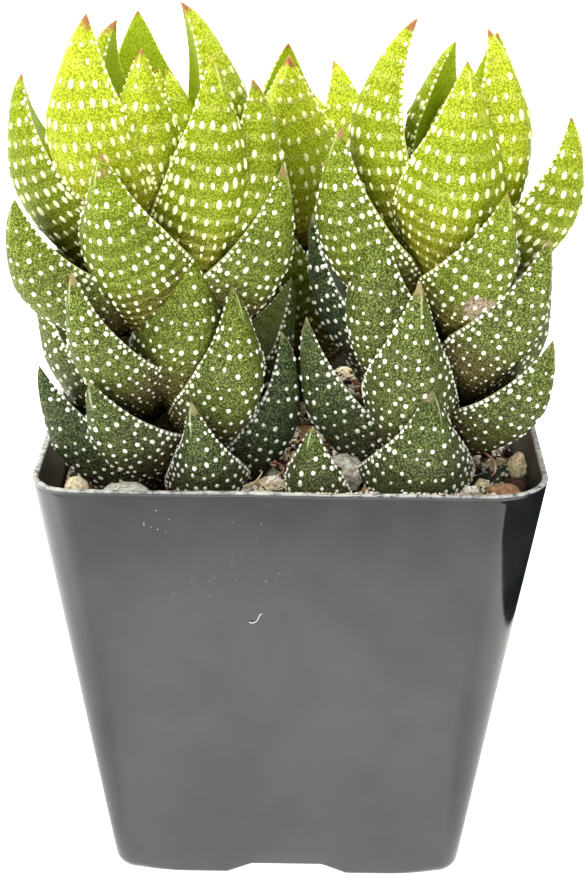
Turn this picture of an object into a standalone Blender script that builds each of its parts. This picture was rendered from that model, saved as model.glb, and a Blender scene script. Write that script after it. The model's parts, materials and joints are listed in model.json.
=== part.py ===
# A clump of pearl-spotted haworthia: four leafy shoots stand in potting mix in a tapered square nursery pot.
# The origin is the middle of the pot's base, +Z is up, and the pot's front wall faces -Y.
import math
import random
from typing import NamedTuple

import bmesh
import bpy
from mathutils import Matrix, Vector, noise
from mathutils.bvhtree import BVHTree

MM = 0.001
GAP = 0.3 * MM  # kept between pieces that touch

# Pot: the outer width at the rim and at the foot, and a wall of one thickness
RIM_WIDTH = 63.5 * MM
FOOT_WIDTH = 45.8 * MM
POT_HEIGHT = 60.3 * MM
WALL = 1.0 * MM
FLOOR = 2.2 * MM
POT_CORNER = 5.5 * MM
FOOT_ROUND = 3.0 * MM  # between the base and the walls
RIM_ROUND = 0.3 * MM
CORNER_STEPS = 5
ROUND_STEPS = 3
NOTCH_TOP = 9.5 * MM  # a low arch in the middle of each side lets water out from under the pot
NOTCH_FOOT = 16.0 * MM
NOTCH_HEIGHT = 1.2 * MM
NOTCH_DEPTH = 9.0 * MM
DRAIN_RADIUS = 2.0 * MM
DRAIN_INSET = 6.0 * MM

# Potting mix: its level at the walls, how far it mounds up towards the middle, and its lumps
MIX_LEVEL = 53.0 * MM
MIX_MOUND = 2.0 * MM
MIX_LUMP = 0.8 * MM
MIX_LUMP_SIZE = 4.5 * MM
MIX_CELLS = 19  # squares across the surface
MIX_FOOT_ROUND = 2.5 * MM
LEAF_CLEARANCE = 1.1 * MM  # the mix is drawn down under each leaf that lies over it

# Stems, and the leaves that grow round them
STEM_FOOT = 40.0 * MM
STEM_RADIUS = 4.2 * MM
STEM_TOP_RADIUS = 3.0 * MM
STEM_SIDES = 8
LEAF_ROOT_RADIUS = 2.2 * MM
LEAF_ROWS = 7  # of pearls
RANK_ROWS = 5
CURVE_STEPS = 8  # between two rows, to follow the leaf's bend
PEARLS_FROM = 0.36  # share of the leaf that lies hidden among its neighbours
LEAF_COLUMNS = 6
PEARL_HEIGHT = 0.4 * MM
RANK_PITCH = 13.7  # mm up the stem from one leaf to the next one above it
BUD_SPIRAL = 137.5  # degrees from one heart leaf to the next

# Pumice chips that lie in the mix
CHIP_CORNERS = 13
CHIP_SEED = 5


class Leaf(NamedTuple):
    """How a leaf grows: azimuth 0 points to the front, positive to the right. Angles in degrees, lengths in mm."""

    azimuth: float
    root: float  # height of its root above the mix
    length: float = 26.0
    lean: float = 0.0  # added to the angle at which it rises
    sway: float = 0.0  # how far its tip turns sideways
    curl: float = 0.0  # how far its tip bends in beyond the usual
    rows: int = LEAF_ROWS


class Shoot(NamedTuple):
    name: str
    place: tuple  # where the stem leaves the mix, mm
    slant: tuple  # sideways and backward shift for each mm of height
    height: float  # of the stem above the mix, mm
    leaves: tuple  # those that face the front
    ranks: tuple  # columns of leaves behind them: azimuth and the height of the highest root


RIGHT = Shoot(
    "rosette_right",
    (17.5, -12.0),
    (0.06, 0.0),
    37.0,
    (
        Leaf(-9, 2.5, 22, sway=12),
        Leaf(40, 8, 25, lean=-13, sway=6),
        Leaf(-60, 8, 25.5, lean=-9),
        Leaf(-22, 11, 25, lean=2, sway=26),
        Leaf(40, 17.5, 25.5, lean=-9, sway=4),
        Leaf(-43, 17.5, 25, lean=3),
        Leaf(18, 22.5, 25.5, lean=-8, sway=8),
        Leaf(-105, 15.5, 25, lean=-8),
        Leaf(-77, 26, 26, lean=-10, curl=8),
        Leaf(100, 25.5, 27, lean=-13, curl=12),
        Leaf(1, 31, 29),
        Leaf(-67, 33.5, 29, curl=18),
        Leaf(-162, 31.5, 26.5, lean=18, sway=15),
        Leaf(25, 32.5, 29, lean=8, sway=6, curl=4),
        Leaf(142, 33, 26, lean=4),
        Leaf(79, -2.5, 12.5, lean=-12),
    ),
    ((114, 11), (142, 19.5), (185, 17.5), (228, 24)),
)
LEFT = Shoot(
    "rosette_left",
    (-14.5, -12.0),
    (-0.06, 0.0),
    38.0,
    (
        Leaf(-86, 31.5, 28, lean=-25, curl=20),
        Leaf(-40, 36, 29, lean=-7, sway=6, curl=6),
        Leaf(-142, 34, 26.5),
        Leaf(200, 35, 26, lean=-2, sway=-6),
        Leaf(-14, 38, 22.5, lean=-4, sway=6),
        Leaf(98, 35, 28, lean=9, curl=14),
        Leaf(29, 33, 29, lean=-8),
        Leaf(-21, 25, 27, lean=-9, sway=-7),
        Leaf(-88, 18, 27, lean=-25, curl=22),
        Leaf(-100, 8.5, 24.5, lean=-7),
        Leaf(-32, 15, 25.5, lean=-12, sway=-9),
        Leaf(10, 16, 25),
        Leaf(35, 11, 26, lean=-3, sway=-18),
        Leaf(-29, 5.5, 22, lean=-13, sway=-6),
        Leaf(24, 1.5, 20, sway=-42),
        Leaf(-79, 1, 23, lean=0),
        Leaf(54, 4.5, 26.5, lean=-2, sway=-16, curl=4),
        Leaf(76, 29, 27),
        Leaf(69, 22.5, 26, lean=-10, curl=6),
    ),
    ((113, 22), (158, 27), (200, 20), (243, 26)),
)
BACK = Shoot(
    "rosette_back",
    (1.0, 15.0),
    (0.0, 0.0),
    29.0,
    (
        Leaf(-13, 27.5, 26),
        Leaf(25, 27, 25, lean=2, sway=2),
        Leaf(177, 20.5, 24, sway=-5),
    ),
    ((-14, 13), (32, 12), (78, 17), (122, 23), (177, 7), (222, 22), (262, 14), (303, 19)),
)
PUP = Shoot(
    "offset_front",
    (4.6, -20.0),
    (0.0, 0.0),
    4.0,
    (
        Leaf(-18, -1, 16, lean=17),
        Leaf(150, 0, 8, lean=26),
        Leaf(-135, 0, 8.5, lean=24),
    ),
    (),
)
SHOOTS = (LEFT, RIGHT, BACK, PUP)


class Chip(NamedTuple):
    place: tuple  # mm
    size: float  # mm
    rise: float  # height of its middle above the mix, mm


CHIPS = (
    Chip((6.6, -9.0), 3.8, 0.6),
    Chip((-2.8, -14.0), 2.8, 0.5),
    Chip((9.5, -3.0), 3.0, 0.3),
    Chip((-2.0, 2.0), 3.6, 0.4),
    Chip((22.0, 4.5), 4.0, 0.5),
    Chip((-22.0, 4.0), 4.2, 0.5),
    Chip((-14.0, 17.5), 4.4, 0.5),
    Chip((-22.5, 21.0), 3.4, 0.4),
    Chip((17.0, 20.0), 4.2, 0.5),
    Chip((24.0, 14.0), 3.2, 0.4),
    Chip((0.5, 27.0), 3.2, 0.4),
)


def principled(name, colour, roughness):
    """A material of one sRGB hex colour."""
    material = bpy.data.materials.new(name)
    material.use_nodes = True
    shader = material.node_tree.nodes["Principled BSDF"]
    channels = [int(colour[i : i + 2], 16) / 255 for i in (1, 3, 5)]
    linear = [c / 12.92 if c <= 0.04045 else ((c + 0.055) / 1.055) ** 2.4 for c in channels]
    shader.inputs["Base Color"].default_value = (*linear, 1.0)
    shader.inputs["Roughness"].default_value = roughness
    shader.inputs["Metallic"].default_value = 0.0
    material.diffuse_color = (*linear, 1.0)
    return material


def add_object(name, mesh, material=None, smooth_angle=None):
    """Turn a bmesh into an object of the scene."""
    data = bpy.data.meshes.new(name)
    mesh.to_mesh(data)
    mesh.free()
    if material:
        data.materials.append(material)
    if smooth_angle is not None:
        data.shade_smooth()
        data.set_sharp_from_angle(angle=math.radians(smooth_angle))
    made = bpy.data.objects.new(name, data)
    bpy.context.scene.collection.objects.link(made)
    return made


def combine(target, others, operation):
    """Join the other objects to the target, or cut them out of it, in one Boolean."""
    group = bpy.data.collections.new(target.name + "_" + operation.lower())
    bpy.context.scene.collection.children.link(group)
    for other in others:
        other.hide_render = True
        other.display_type = "WIRE"
        bpy.context.scene.collection.objects.unlink(other)
        group.objects.link(other)
    boolean = target.modifiers.new(operation.title(), "BOOLEAN")
    boolean.operation = operation
    boolean.operand_type = "COLLECTION"
    boolean.collection = group
    boolean.solver = "EXACT"
    graph = bpy.context.evaluated_depsgraph_get()
    joined = bpy.data.meshes.new_from_object(target.evaluated_get(graph))
    target.modifiers.clear()
    target.data = joined
    for other in others:
        bpy.data.objects.remove(other, do_unlink=True)
    bpy.data.collections.remove(group)


def islands(mesh):
    """The faces of a bmesh in groups, each joined over edges that two faces share."""
    left = set(mesh.faces)
    while left:
        group, waiting = [], [left.pop()]
        while waiting:
            face = waiting.pop()
            group.append(face)
            for edge in face.edges:
                if len(edge.link_faces) == 2:
                    for other in edge.link_faces:
                        if other in left:
                            left.remove(other)
                            waiting.append(other)
        yield group


def tidy_mesh(target):
    """Weld the specks that a Boolean leaves, split the faces into triangles and fill any pocket closed in between."""
    mesh = bmesh.new()
    mesh.from_mesh(target.data)
    bmesh.ops.remove_doubles(mesh, verts=mesh.verts, dist=0.005 * MM)
    bmesh.ops.dissolve_degenerate(mesh, edges=mesh.edges, dist=0.005 * MM)
    bmesh.ops.triangulate(mesh, faces=mesh.faces)
    pockets = []
    for group in islands(mesh):
        volume = 0.0
        for face in group:
            a, b, c = (v.co / MM for v in face.verts)
            volume += a.dot(b.cross(c)) / 6
        if volume < 0.01:
            pockets.extend(group)
    bmesh.ops.delete(mesh, geom=pockets, context="FACES")
    mesh.to_mesh(target.data)
    mesh.free()


def loft(mesh, rings, close_start=True, close_end=True):
    """Join rings of vertices that match one to one."""
    for low, high in zip(rings, rings[1:]):
        for j in range(len(low)):
            k = (j + 1) % len(low)
            mesh.faces.new((low[j], low[k], high[k], high[j]))
    if close_start:
        mesh.faces.new(reversed(rings[0]))
    if close_end:
        mesh.faces.new(rings[-1])


def rounded_square(width, corner, z):
    """Points round a square with rounded corners, anticlockwise seen from above."""
    half = width / 2 - corner
    points = []
    for quarter in range(4):
        centre = Matrix.Rotation(math.pi / 2 * quarter, 3, "Z") @ Vector((half, half, z))
        for i in range(CORNER_STEPS + 1):
            angle = math.pi / 2 * (quarter + i / CORNER_STEPS)
            points.append(centre + Vector((math.cos(angle), math.sin(angle), 0)) * corner)
    return points


def outer_width(z):
    return FOOT_WIDTH + (RIM_WIDTH - FOOT_WIDTH) * z / POT_HEIGHT


def build_pot():
    inner_round = FOOT_ROUND - WALL
    profile = []  # width, corner radius and height of each ring, from the base up, over the rim and down inside
    for i in range(ROUND_STEPS + 1):
        angle = math.pi / 2 * i / ROUND_STEPS
        inset = FOOT_ROUND * (1 - math.sin(angle))
        z = FOOT_ROUND * (1 - math.cos(angle))
        profile.append((outer_width(z) - 2 * inset, POT_CORNER - 0.6 * inset, z))
    profile.append((outer_width(POT_HEIGHT - RIM_ROUND), POT_CORNER, POT_HEIGHT - RIM_ROUND))
    profile.append((RIM_WIDTH - 2 * RIM_ROUND, POT_CORNER - RIM_ROUND, POT_HEIGHT))
    profile.append((RIM_WIDTH - 2 * WALL + 2 * RIM_ROUND, POT_CORNER - WALL + RIM_ROUND, POT_HEIGHT))
    profile.append((outer_width(POT_HEIGHT - RIM_ROUND) - 2 * WALL, POT_CORNER - WALL, POT_HEIGHT - RIM_ROUND))
    for i in range(ROUND_STEPS + 1):
        angle = math.pi / 2 * i / ROUND_STEPS
        inset = inner_round * (1 - math.cos(angle))
        z = FLOOR + inner_round * (1 - math.sin(angle))
        profile.append((outer_width(z) - 2 * (WALL + inset), POT_CORNER - WALL - 0.6 * inset, z))
    mesh = bmesh.new()
    loft(mesh, [[mesh.verts.new(p) for p in rounded_square(*ring)] for ring in profile])
    pot = add_object("pot", mesh, principled("satin_black_plastic", "#3a3b3b", 0.42))
    cutters = []
    for quarter in range(4):
        turn = Matrix.Rotation(math.pi / 2 * quarter, 4, "Z")
        outline = (
            (-NOTCH_FOOT / 2, 0.0),
            (-NOTCH_TOP / 2, NOTCH_HEIGHT),
            (NOTCH_TOP / 2, NOTCH_HEIGHT),
            (NOTCH_FOOT / 2, 0.0),
            (NOTCH_FOOT / 2, -1 * MM),
            (-NOTCH_FOOT / 2, -1 * MM),
        )
        mesh = bmesh.new()
        ends = []
        for y in (FOOT_WIDTH / 2 - NOTCH_DEPTH, FOOT_WIDTH / 2 + 2 * MM):
            ends.append([mesh.verts.new(turn @ Vector((x, -y, z))) for x, z in outline])
        loft(mesh, ends)
        bmesh.ops.recalc_face_normals(mesh, faces=mesh.faces)
        cutters.append(add_object(f"notch_cutter_{quarter}", mesh))
        mesh = bmesh.new()
        place = turn @ Matrix.Translation((0, DRAIN_INSET - FOOT_WIDTH / 2, FLOOR))
        bmesh.ops.create_cone(
            mesh, cap_ends=True, segments=16, radius1=DRAIN_RADIUS, radius2=DRAIN_RADIUS, depth=4 * FLOOR, matrix=place
        )
        cutters.append(add_object(f"drain_cutter_{quarter}", mesh))
    combine(pot, cutters[0::2], "DIFFERENCE")
    combine(pot, cutters[1::2], "DIFFERENCE")
    tidy_mesh(pot)
    pot.data.shade_smooth()
    pot.data.set_sharp_from_angle(angle=math.radians(32))
    return pot


def leaf_line(leaf, shoot, stations):
    """The leaf at each share of its length: point, outward and sideways directions, half width, depth and hollow."""
    share = min(max(leaf.root / shoot.height, 0.0), 1.0)
    if shoot is PUP:
        share = 0.2
    rise_root = math.radians(28 + 28 * share + leaf.lean)
    rise_tip = math.radians(74 + 22 * share + leaf.lean + leaf.curl)
    width = leaf.length * (0.54 - 0.03 * share)
    depth = 0.38 * width
    up = Vector((0, 0, 1))

    def directions(t):
        rise = rise_root + (rise_tip - rise_root) * t
        azimuth = math.radians(leaf.azimuth + leaf.sway * t)
        away = Vector((math.sin(azimuth), -math.cos(azimuth), 0))
        return away, away * math.cos(rise) + up * math.sin(rise), away * math.sin(rise) - up * math.cos(rise)

    x, y = (p + s * leaf.root for p, s in zip(shoot.place, shoot.slant))
    point = Vector((x, y, MIX_LEVEL / MM + leaf.root)) + directions(0)[0] * (LEAF_ROOT_RADIUS / MM)
    line = []
    reached = 0.0
    for t in stations:
        step = (t - reached) / CURVE_STEPS
        for i in range(CURVE_STEPS):
            point = point + directions(reached + step * (i + 0.5))[1] * (leaf.length * step)
        reached = t
        away, along, outward = directions(t)
        swell = 0.5 + 0.5 * math.sin(min(t / 0.35, 1.0) * math.pi / 2)
        taper = max(t - 0.35, 0.0) / 0.65
        half = 0.5 * width * swell * (1 - taper**1.65)
        hollow = 0.18 * width * (1 - taper) ** 1.5
        line.append((point, outward, outward.cross(along), half, depth * (1 - taper**2.2), hollow))
    return line


def leaf_mesh(leaf, shoot, columns=LEAF_COLUMNS, pearl=PEARL_HEIGHT / MM):
    """One leaf as a closed bmesh in metres: a domed back set with pearls, a hollowed face and a pointed tip."""
    mesh = bmesh.new()
    stations = [0.0] + [PEARLS_FROM + (1 - PEARLS_FROM) * i / leaf.rows for i in range(leaf.rows + 1)]
    line = leaf_line(leaf, shoot, stations)
    rings = []
    for i, (point, outward, side, half, depth, hollow) in enumerate(line[:-1]):
        ring = []
        for j in range(columns + 1):
            s = 0.5 * (2 * j / columns - 1) - 0.5 * math.cos(math.pi * j / columns)
            back = depth * (1 - s * s) ** 0.62 - hollow * s * s
            if (i + j) % 2 == 1 and i > 0 and 0 < j < columns:
                back += pearl
            ring.append(mesh.verts.new((point + side * (half * s) + outward * back) * MM))
        ring.append(mesh.verts.new((point - outward * (0.06 * depth)) * MM))
        rings.append(ring)
    tip = mesh.verts.new(line[-1][0] * MM)
    count = columns + 2
    for i, (low, high) in enumerate(zip(rings, rings[1:])):
        for j in range(count):
            k = (j + 1) % count
            if (i + j) % 2 == 1:  # each split runs between two hollows, so every pearl is a small pyramid
                mesh.faces.new((low[j], low[k], high[j]))
                mesh.faces.new((low[k], high[k], high[j]))
            else:
                mesh.faces.new((low[j], low[k], high[k]))
                mesh.faces.new((low[j], high[k], high[j]))
    for j in range(count):
        mesh.faces.new((rings[-1][j], rings[-1][(j + 1) % count], tip))
    mesh.faces.new(reversed(rings[0]))
    bmesh.ops.recalc_face_normals(mesh, faces=mesh.faces)
    return mesh


def all_leaves(shoot):
    """The leaves at the front, the ranks of leaves behind them, and the young leaves in the heart."""
    leaves = list(shoot.leaves)
    for azimuth, highest in shoot.ranks:
        root = highest
        while root > 2:
            share = root / shoot.height
            leaves.append(Leaf(azimuth, root, 22 + 4 * share, lean=-4, rows=RANK_ROWS))
            root -= RANK_PITCH
    if shoot is not PUP:
        for i in range(3):
            leaves.append(Leaf(BUD_SPIRAL * i + 60, shoot.height - 0.5 + i, 17 - i, lean=18 + 4 * i, rows=RANK_ROWS))
    return leaves


def build_shoot(shoot, material):
    """A stem with its leaves, all one body."""
    top = shoot.height + (2 if shoot is PUP else 5)
    radius = 2.4 * MM if shoot is PUP else STEM_RADIUS
    mesh = bmesh.new()
    rings = []
    for height, ring_radius in ((STEM_FOOT / MM - MIX_LEVEL / MM, radius), (top, min(radius, STEM_TOP_RADIUS))):
        x, y = (p + s * max(height, 0) for p, s in zip(shoot.place, shoot.slant))
        ring = []
        for i in range(STEM_SIDES):
            angle = 2 * math.pi * i / STEM_SIDES
            across = Vector((math.cos(angle), math.sin(angle), 0)) * ring_radius
            ring.append(mesh.verts.new(Vector((x * MM, y * MM, MIX_LEVEL + height * MM)) + across))
        rings.append(ring)
    loft(mesh, rings)
    stem = add_object(shoot.name, mesh, material)
    leaves = [add_object(f"{shoot.name}_leaf_{i}", leaf_mesh(leaf, shoot)) for i, leaf in enumerate(all_leaves(shoot))]
    combine(stem, leaves, "UNION")
    tidy_mesh(stem)
    stem.data.materials.clear()
    stem.data.materials.append(material)
    return stem


def tree_of(meshes):
    """One search tree over several closed bmeshes."""
    points, faces = [], []
    for mesh in meshes:
        start = len(points)
        points.extend(v.co.copy() for v in mesh.verts)
        faces.extend([v.index + start for v in f.verts] for f in mesh.faces)
        mesh.free()
    return BVHTree.FromPolygons(points, faces)


def square_reach(x, y, half, corner):
    """How far the outline of a rounded square lies from its middle, in the direction of x, y."""
    across, along = sorted((abs(x), abs(y)))
    size = math.hypot(x, y)
    across, along = across / size, along / size
    reach = half / along
    if reach * across > half - corner:
        middle = (half - corner) * (across + along)
        reach = middle + math.sqrt(max(middle * middle - 2 * (half - corner) ** 2 + corner * corner, 0.0))
    return reach


def mix_level(x, y):
    """The height of the mix where nothing lies on it."""
    far = min(math.hypot(x, y) / (RIM_WIDTH / 2), 1.0)
    lump = noise.noise(Vector((x, y, 0.017)) / MIX_LUMP_SIZE)
    return MIX_LEVEL + MIX_MOUND * (1 - far * far) + MIX_LUMP * lump


def lower_under(face, leaf_tree):
    """Lower the inner corners of a triangle of the surface until it lies clear under the leaves."""
    a, b, c = face.verts
    excess = 0.0
    for i in range(7):
        for j in range(7 - i):
            point = (a.co * i + b.co * j + c.co * (6 - i - j)) / 6
            hit = leaf_tree.ray_cast(Vector((point.x, point.y, STEM_FOOT)), Vector((0, 0, 1)))[0]
            if hit is not None:
                excess = max(excess, point.z - (hit.z - LEAF_CLEARANCE))
    for vertex in face.verts:
        if not vertex.is_boundary:
            vertex.co.z -= excess


def build_mix(leaf_tree):
    """The potting mix: a lumpy surface drawn down under the leaves, and a body that follows the pot's inside."""
    mesh = bmesh.new()
    grid = []
    for i in range(MIX_CELLS + 1):
        row = []
        for j in range(MIX_CELLS + 1):
            u, v = 2 * i / MIX_CELLS - 1, 2 * j / MIX_CELLS - 1
            edge = max(abs(u), abs(v))
            half = outer_width(MIX_LEVEL) / 2 - WALL - GAP
            if edge > 0:
                scale = square_reach(u, v, half, POT_CORNER - WALL) * edge / math.hypot(u, v)
                x, y = u * scale, v * scale
            else:
                x = y = 0.0
            z = mix_level(x, y)
            if edge == 1:
                z = MIX_LEVEL
            row.append(mesh.verts.new((x, y, z)))
        grid.append(row)
    for i in range(MIX_CELLS):
        for j in range(MIX_CELLS):
            corners = (grid[i][j], grid[i + 1][j], grid[i + 1][j + 1], grid[i][j + 1])
            if (i + j) % 2:
                corners = corners[1:] + corners[:1]
            mesh.faces.new(corners[:3])
            mesh.faces.new((corners[0], corners[2], corners[3]))
    for sweep in range(6):
        for face in mesh.faces:
            lower_under(face, leaf_tree)
    n = MIX_CELLS
    edge = [grid[i][0] for i in range(n)] + [grid[n][j] for j in range(n)]
    edge += [grid[i][n] for i in range(n, 0, -1)] + [grid[0][j] for j in range(n, 0, -1)]
    rings = [edge]
    for z, inset in (
        (FLOOR + MIX_FOOT_ROUND, 0.0),
        (FLOOR + 0.3 * MIX_FOOT_ROUND, 0.3 * MIX_FOOT_ROUND),
        (FLOOR + GAP, MIX_FOOT_ROUND),
    ):
        half = outer_width(z) / 2 - WALL - GAP - inset
        ring = []
        for vertex in edge:
            x, y = vertex.co.xy
            reach = square_reach(x, y, half, POT_CORNER - WALL) / math.hypot(x, y)
            ring.append(mesh.verts.new((x * reach, y * reach, z)))
        rings.append(ring)
    loft(mesh, [list(reversed(ring)) for ring in rings], close_start=False)
    bmesh.ops.recalc_face_normals(mesh, faces=mesh.faces)
    mix = add_object("potting_mix", mesh, principled("gritty_potting_mix", "#8a7a66", 0.95))
    holes = []
    for shoot in SHOOTS:
        radius = (2.4 * MM if shoot is PUP else STEM_RADIUS) + 1.8 * GAP
        hole = bmesh.new()
        foot = STEM_FOOT - GAP
        place = Matrix.Translation((shoot.place[0] * MM, shoot.place[1] * MM, foot + 12 * MM))
        bmesh.ops.create_cone(
            hole, cap_ends=True, segments=16, radius1=radius, radius2=radius, depth=24 * MM, matrix=place
        )
        holes.append(add_object(shoot.name + "_hole", hole))
    combine(mix, holes, "DIFFERENCE")
    return mix


def chip_mesh(chip, order, spread):
    """A rough stone: the hull of points strewn over a squat ellipsoid, in metres."""
    chance = random.Random(CHIP_SEED + order)
    mesh = bmesh.new()
    turn = Matrix.Rotation(chance.uniform(0, math.pi), 3, "Z")
    centre = Vector((chip.place[0] * MM, chip.place[1] * MM, 0))
    centre.z = mix_level(centre.x, centre.y) + chip.rise * MM
    for i in range(CHIP_CORNERS):
        z = 1 - (2 * i + 1) / CHIP_CORNERS
        angle = math.radians(BUD_SPIRAL) * i + chance.uniform(-0.3, 0.3)
        ring = math.sqrt(1 - z * z)
        size = 0.5 * chip.size * chance.uniform(0.88, 1.1)
        corner = Vector((ring * math.cos(angle), 0.82 * ring * math.sin(angle), 0.68 * z)) * size
        corner = corner + corner.normalized() * (spread / MM)
        mesh.verts.new(centre + turn @ corner * MM)
    bmesh.ops.convex_hull(mesh, input=mesh.verts)
    return mesh


def main():
    for old in list(bpy.data.objects):
        bpy.data.objects.remove(old, do_unlink=True)
    build_pot()
    green = {
        "rosette_left": "#6f8f2e",
        "rosette_right": "#6a8a30",
        "rosette_back": "#77952f",
        "offset_front": "#3f5c2c",
    }
    for shoot in SHOOTS:
        build_shoot(shoot, principled(shoot.name + "_leaves", green[shoot.name], 0.45))
    mix = build_mix(tree_of([leaf_mesh(leaf, shoot) for shoot in SHOOTS for leaf in all_leaves(shoot)]))
    pumice = principled("pumice", "#e6dfcb", 0.9)
    pockets = []
    for i, chip in enumerate(CHIPS):
        add_object(f"pumice_chip_{i + 1}", chip_mesh(chip, i, 0.0), pumice)
        pockets.append(add_object(f"pocket_{i}", chip_mesh(chip, i, 1.8 * GAP)))
    combine(mix, pockets, "DIFFERENCE")
    tidy_mesh(mix)


if __name__ == "__main__":
    main()
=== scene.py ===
# %% [markdown]
# # A potted haworthia
#
# Three leafy shoots and one small offset grow in gritty mix in a thin, square, black nursery pot. The
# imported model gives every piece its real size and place. This script keeps those sizes and makes the
# surfaces: the leaf skin, the white pearls on it, the grit, and the moulded plastic. All lengths are in
# metres unless a comment says millimetres.

import json
import math
import random
from functools import partial
from typing import NamedTuple

import bmesh
import bpy
import numpy as np
from mathutils import Matrix, Quaternion, Vector, noise
from mathutils.bvhtree import BVHTree

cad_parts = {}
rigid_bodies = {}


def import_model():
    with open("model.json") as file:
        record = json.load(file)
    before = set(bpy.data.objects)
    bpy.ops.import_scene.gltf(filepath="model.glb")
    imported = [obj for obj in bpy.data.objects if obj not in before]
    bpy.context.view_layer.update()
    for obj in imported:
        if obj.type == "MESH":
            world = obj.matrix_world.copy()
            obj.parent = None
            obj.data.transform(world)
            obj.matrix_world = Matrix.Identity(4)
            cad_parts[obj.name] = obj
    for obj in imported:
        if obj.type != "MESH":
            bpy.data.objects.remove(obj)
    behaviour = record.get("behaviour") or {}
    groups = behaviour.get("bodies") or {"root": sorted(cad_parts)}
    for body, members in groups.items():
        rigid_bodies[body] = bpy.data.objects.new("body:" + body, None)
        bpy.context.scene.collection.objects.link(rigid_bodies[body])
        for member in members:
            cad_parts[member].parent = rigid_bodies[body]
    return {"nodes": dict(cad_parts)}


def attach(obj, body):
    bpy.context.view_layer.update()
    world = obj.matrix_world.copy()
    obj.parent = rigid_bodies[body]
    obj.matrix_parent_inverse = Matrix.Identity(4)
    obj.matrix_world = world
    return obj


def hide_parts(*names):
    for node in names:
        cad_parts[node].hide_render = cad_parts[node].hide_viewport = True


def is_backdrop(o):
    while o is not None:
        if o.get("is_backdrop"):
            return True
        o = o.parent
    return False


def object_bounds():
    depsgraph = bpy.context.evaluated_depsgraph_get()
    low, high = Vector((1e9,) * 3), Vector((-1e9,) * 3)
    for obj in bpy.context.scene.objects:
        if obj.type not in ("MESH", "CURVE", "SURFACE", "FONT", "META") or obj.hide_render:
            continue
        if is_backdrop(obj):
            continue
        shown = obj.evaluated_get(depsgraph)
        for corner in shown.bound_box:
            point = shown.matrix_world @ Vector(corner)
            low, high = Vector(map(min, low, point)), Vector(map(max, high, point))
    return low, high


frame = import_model()
cad_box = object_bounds()
MM = 0.001
print("nodes:", ", ".join(sorted(frame["nodes"])))

# %% [markdown]
# ## Small helpers
#
# Colours are picked as sRGB hex values, as a paint program shows them, but shaders add light up in linear
# values, so one function does that change. Another adds a node with its settings and its links in one call,
# and a new material or tree comes with that function bound to it. The last ones join rings of points with
# faces, make an object of plain lists, with one number for each vertex under a name that a material can
# read, and turn its faces outwards.


# %% Helpers for colours, nodes and meshes
def linear(colour):
    """An sRGB hex colour as linear values, opaque."""
    channels = [int(colour[i : i + 2], 16) / 255 for i in (1, 3, 5)]
    return (*[c / 12.92 if c <= 0.04045 else ((c + 0.055) / 1.055) ** 2.4 for c in channels], 1.0)


def add_node(tree, kind, inputs=(), stops=None, **settings):
    """Add a node, set its properties and a ramp's stops, and fill or link its inputs.

    Inputs come in order in a list, or by name or number. A node given for an input stands for its first
    output in use, and a text that starts with # for a colour.
    """
    node = tree.nodes.new(kind if "Node" in kind else tree.bl_idname.removesuffix("Tree") + kind)
    for name, value in settings.items():
        setattr(node, name, value)
    if stops:
        elements = node.color_ramp.elements
        elements.remove(elements[1])
        (first, first_colour), *others = stops.items()
        for position, colour in others:
            elements.new(position).color = linear(colour)
        elements[0].position, elements[0].color = first, linear(first_colour)
    for key, value in inputs.items() if isinstance(inputs, dict) else enumerate(inputs):
        if isinstance(value, bpy.types.Node):
            value = next(output for output in value.outputs if output.enabled)
        if isinstance(value, bpy.types.NodeSocket):
            tree.links.new(value, node.inputs[key])
        elif isinstance(value, str) and value.startswith("#"):
            node.inputs[key].default_value = linear(value)
        else:
            node.inputs[key].default_value = value
    return node


def new_material(name):
    """An empty node material, and the function that adds a node to it."""
    material = bpy.data.materials.new(name)
    material.use_nodes = True
    material.node_tree.nodes.clear()
    return material, partial(add_node, material.node_tree)


# Settings that many nodes share: a smooth map between ranges, blends of two colours, and three operations.
SMOOTH = {"interpolation_type": "SMOOTHSTEP"}
COLOURS = {"data_type": "RGBA"}
TINTED = {"data_type": "RGBA", "blend_type": "MULTIPLY"}
PRODUCT = {"operation": "MULTIPLY"}
SUM = {"operation": "ADD"}
LARGER = {"operation": "MAXIMUM"}


def ring_faces(rings, count):
    """Quads that join rings of points, each ring with the same count of them."""
    following = [*range(1, count), 0]
    return [
        (i * count + j, i * count + k, (i + 1) * count + k, (i + 1) * count + j)
        for i in range(rings - 1)
        for j, k in enumerate(following)
    ]


def add_mesh(name, points, faces, material, values=None, smooth=True):
    """An object at the origin, with its place in its mesh, and a named value on each vertex."""
    mesh = bpy.data.meshes.new(name)
    mesh.from_pydata([tuple(p) for p in points], [], faces)
    mesh.materials.append(material)
    for key, numbers in (values or {}).items():
        vector = np.ndim(numbers) == 2
        field = mesh.attributes.new(key, "FLOAT_VECTOR" if vector else "FLOAT", "POINT")
        field.data.foreach_set("vector" if vector else "value", np.ravel(numbers).astype(np.float32))
    if smooth:
        mesh.shade_smooth()
    made = bpy.data.objects.new(name, mesh)
    bpy.context.scene.collection.objects.link(made)
    return made


def turn_outwards(made):
    """Make all faces of closed shells point outwards."""
    shell = bmesh.new()
    shell.from_mesh(made.data)
    bmesh.ops.recalc_face_normals(shell, faces=shell.faces)
    shell.to_mesh(made.data)
    shell.free()


# %% [markdown]
# ## Camera
#
# The camera stands 28 cm in front of the pot and looks down on it at 22.6 degrees, like someone who holds a
# phone above a table. The place, the lens and the slight roll come from a fit to the pot's rim, corners and
# base.

# %% Camera
CAMERA_TARGET = Vector((0.00016, 0.0, 0.05405))
CAMERA_DISTANCE = 0.28034
CAMERA_RISE, CAMERA_TURN, CAMERA_ROLL = (math.radians(a) for a in (22.63, 0.21, 0.76))
LENS = 84.9  # mm, on a sensor 36 mm tall

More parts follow.
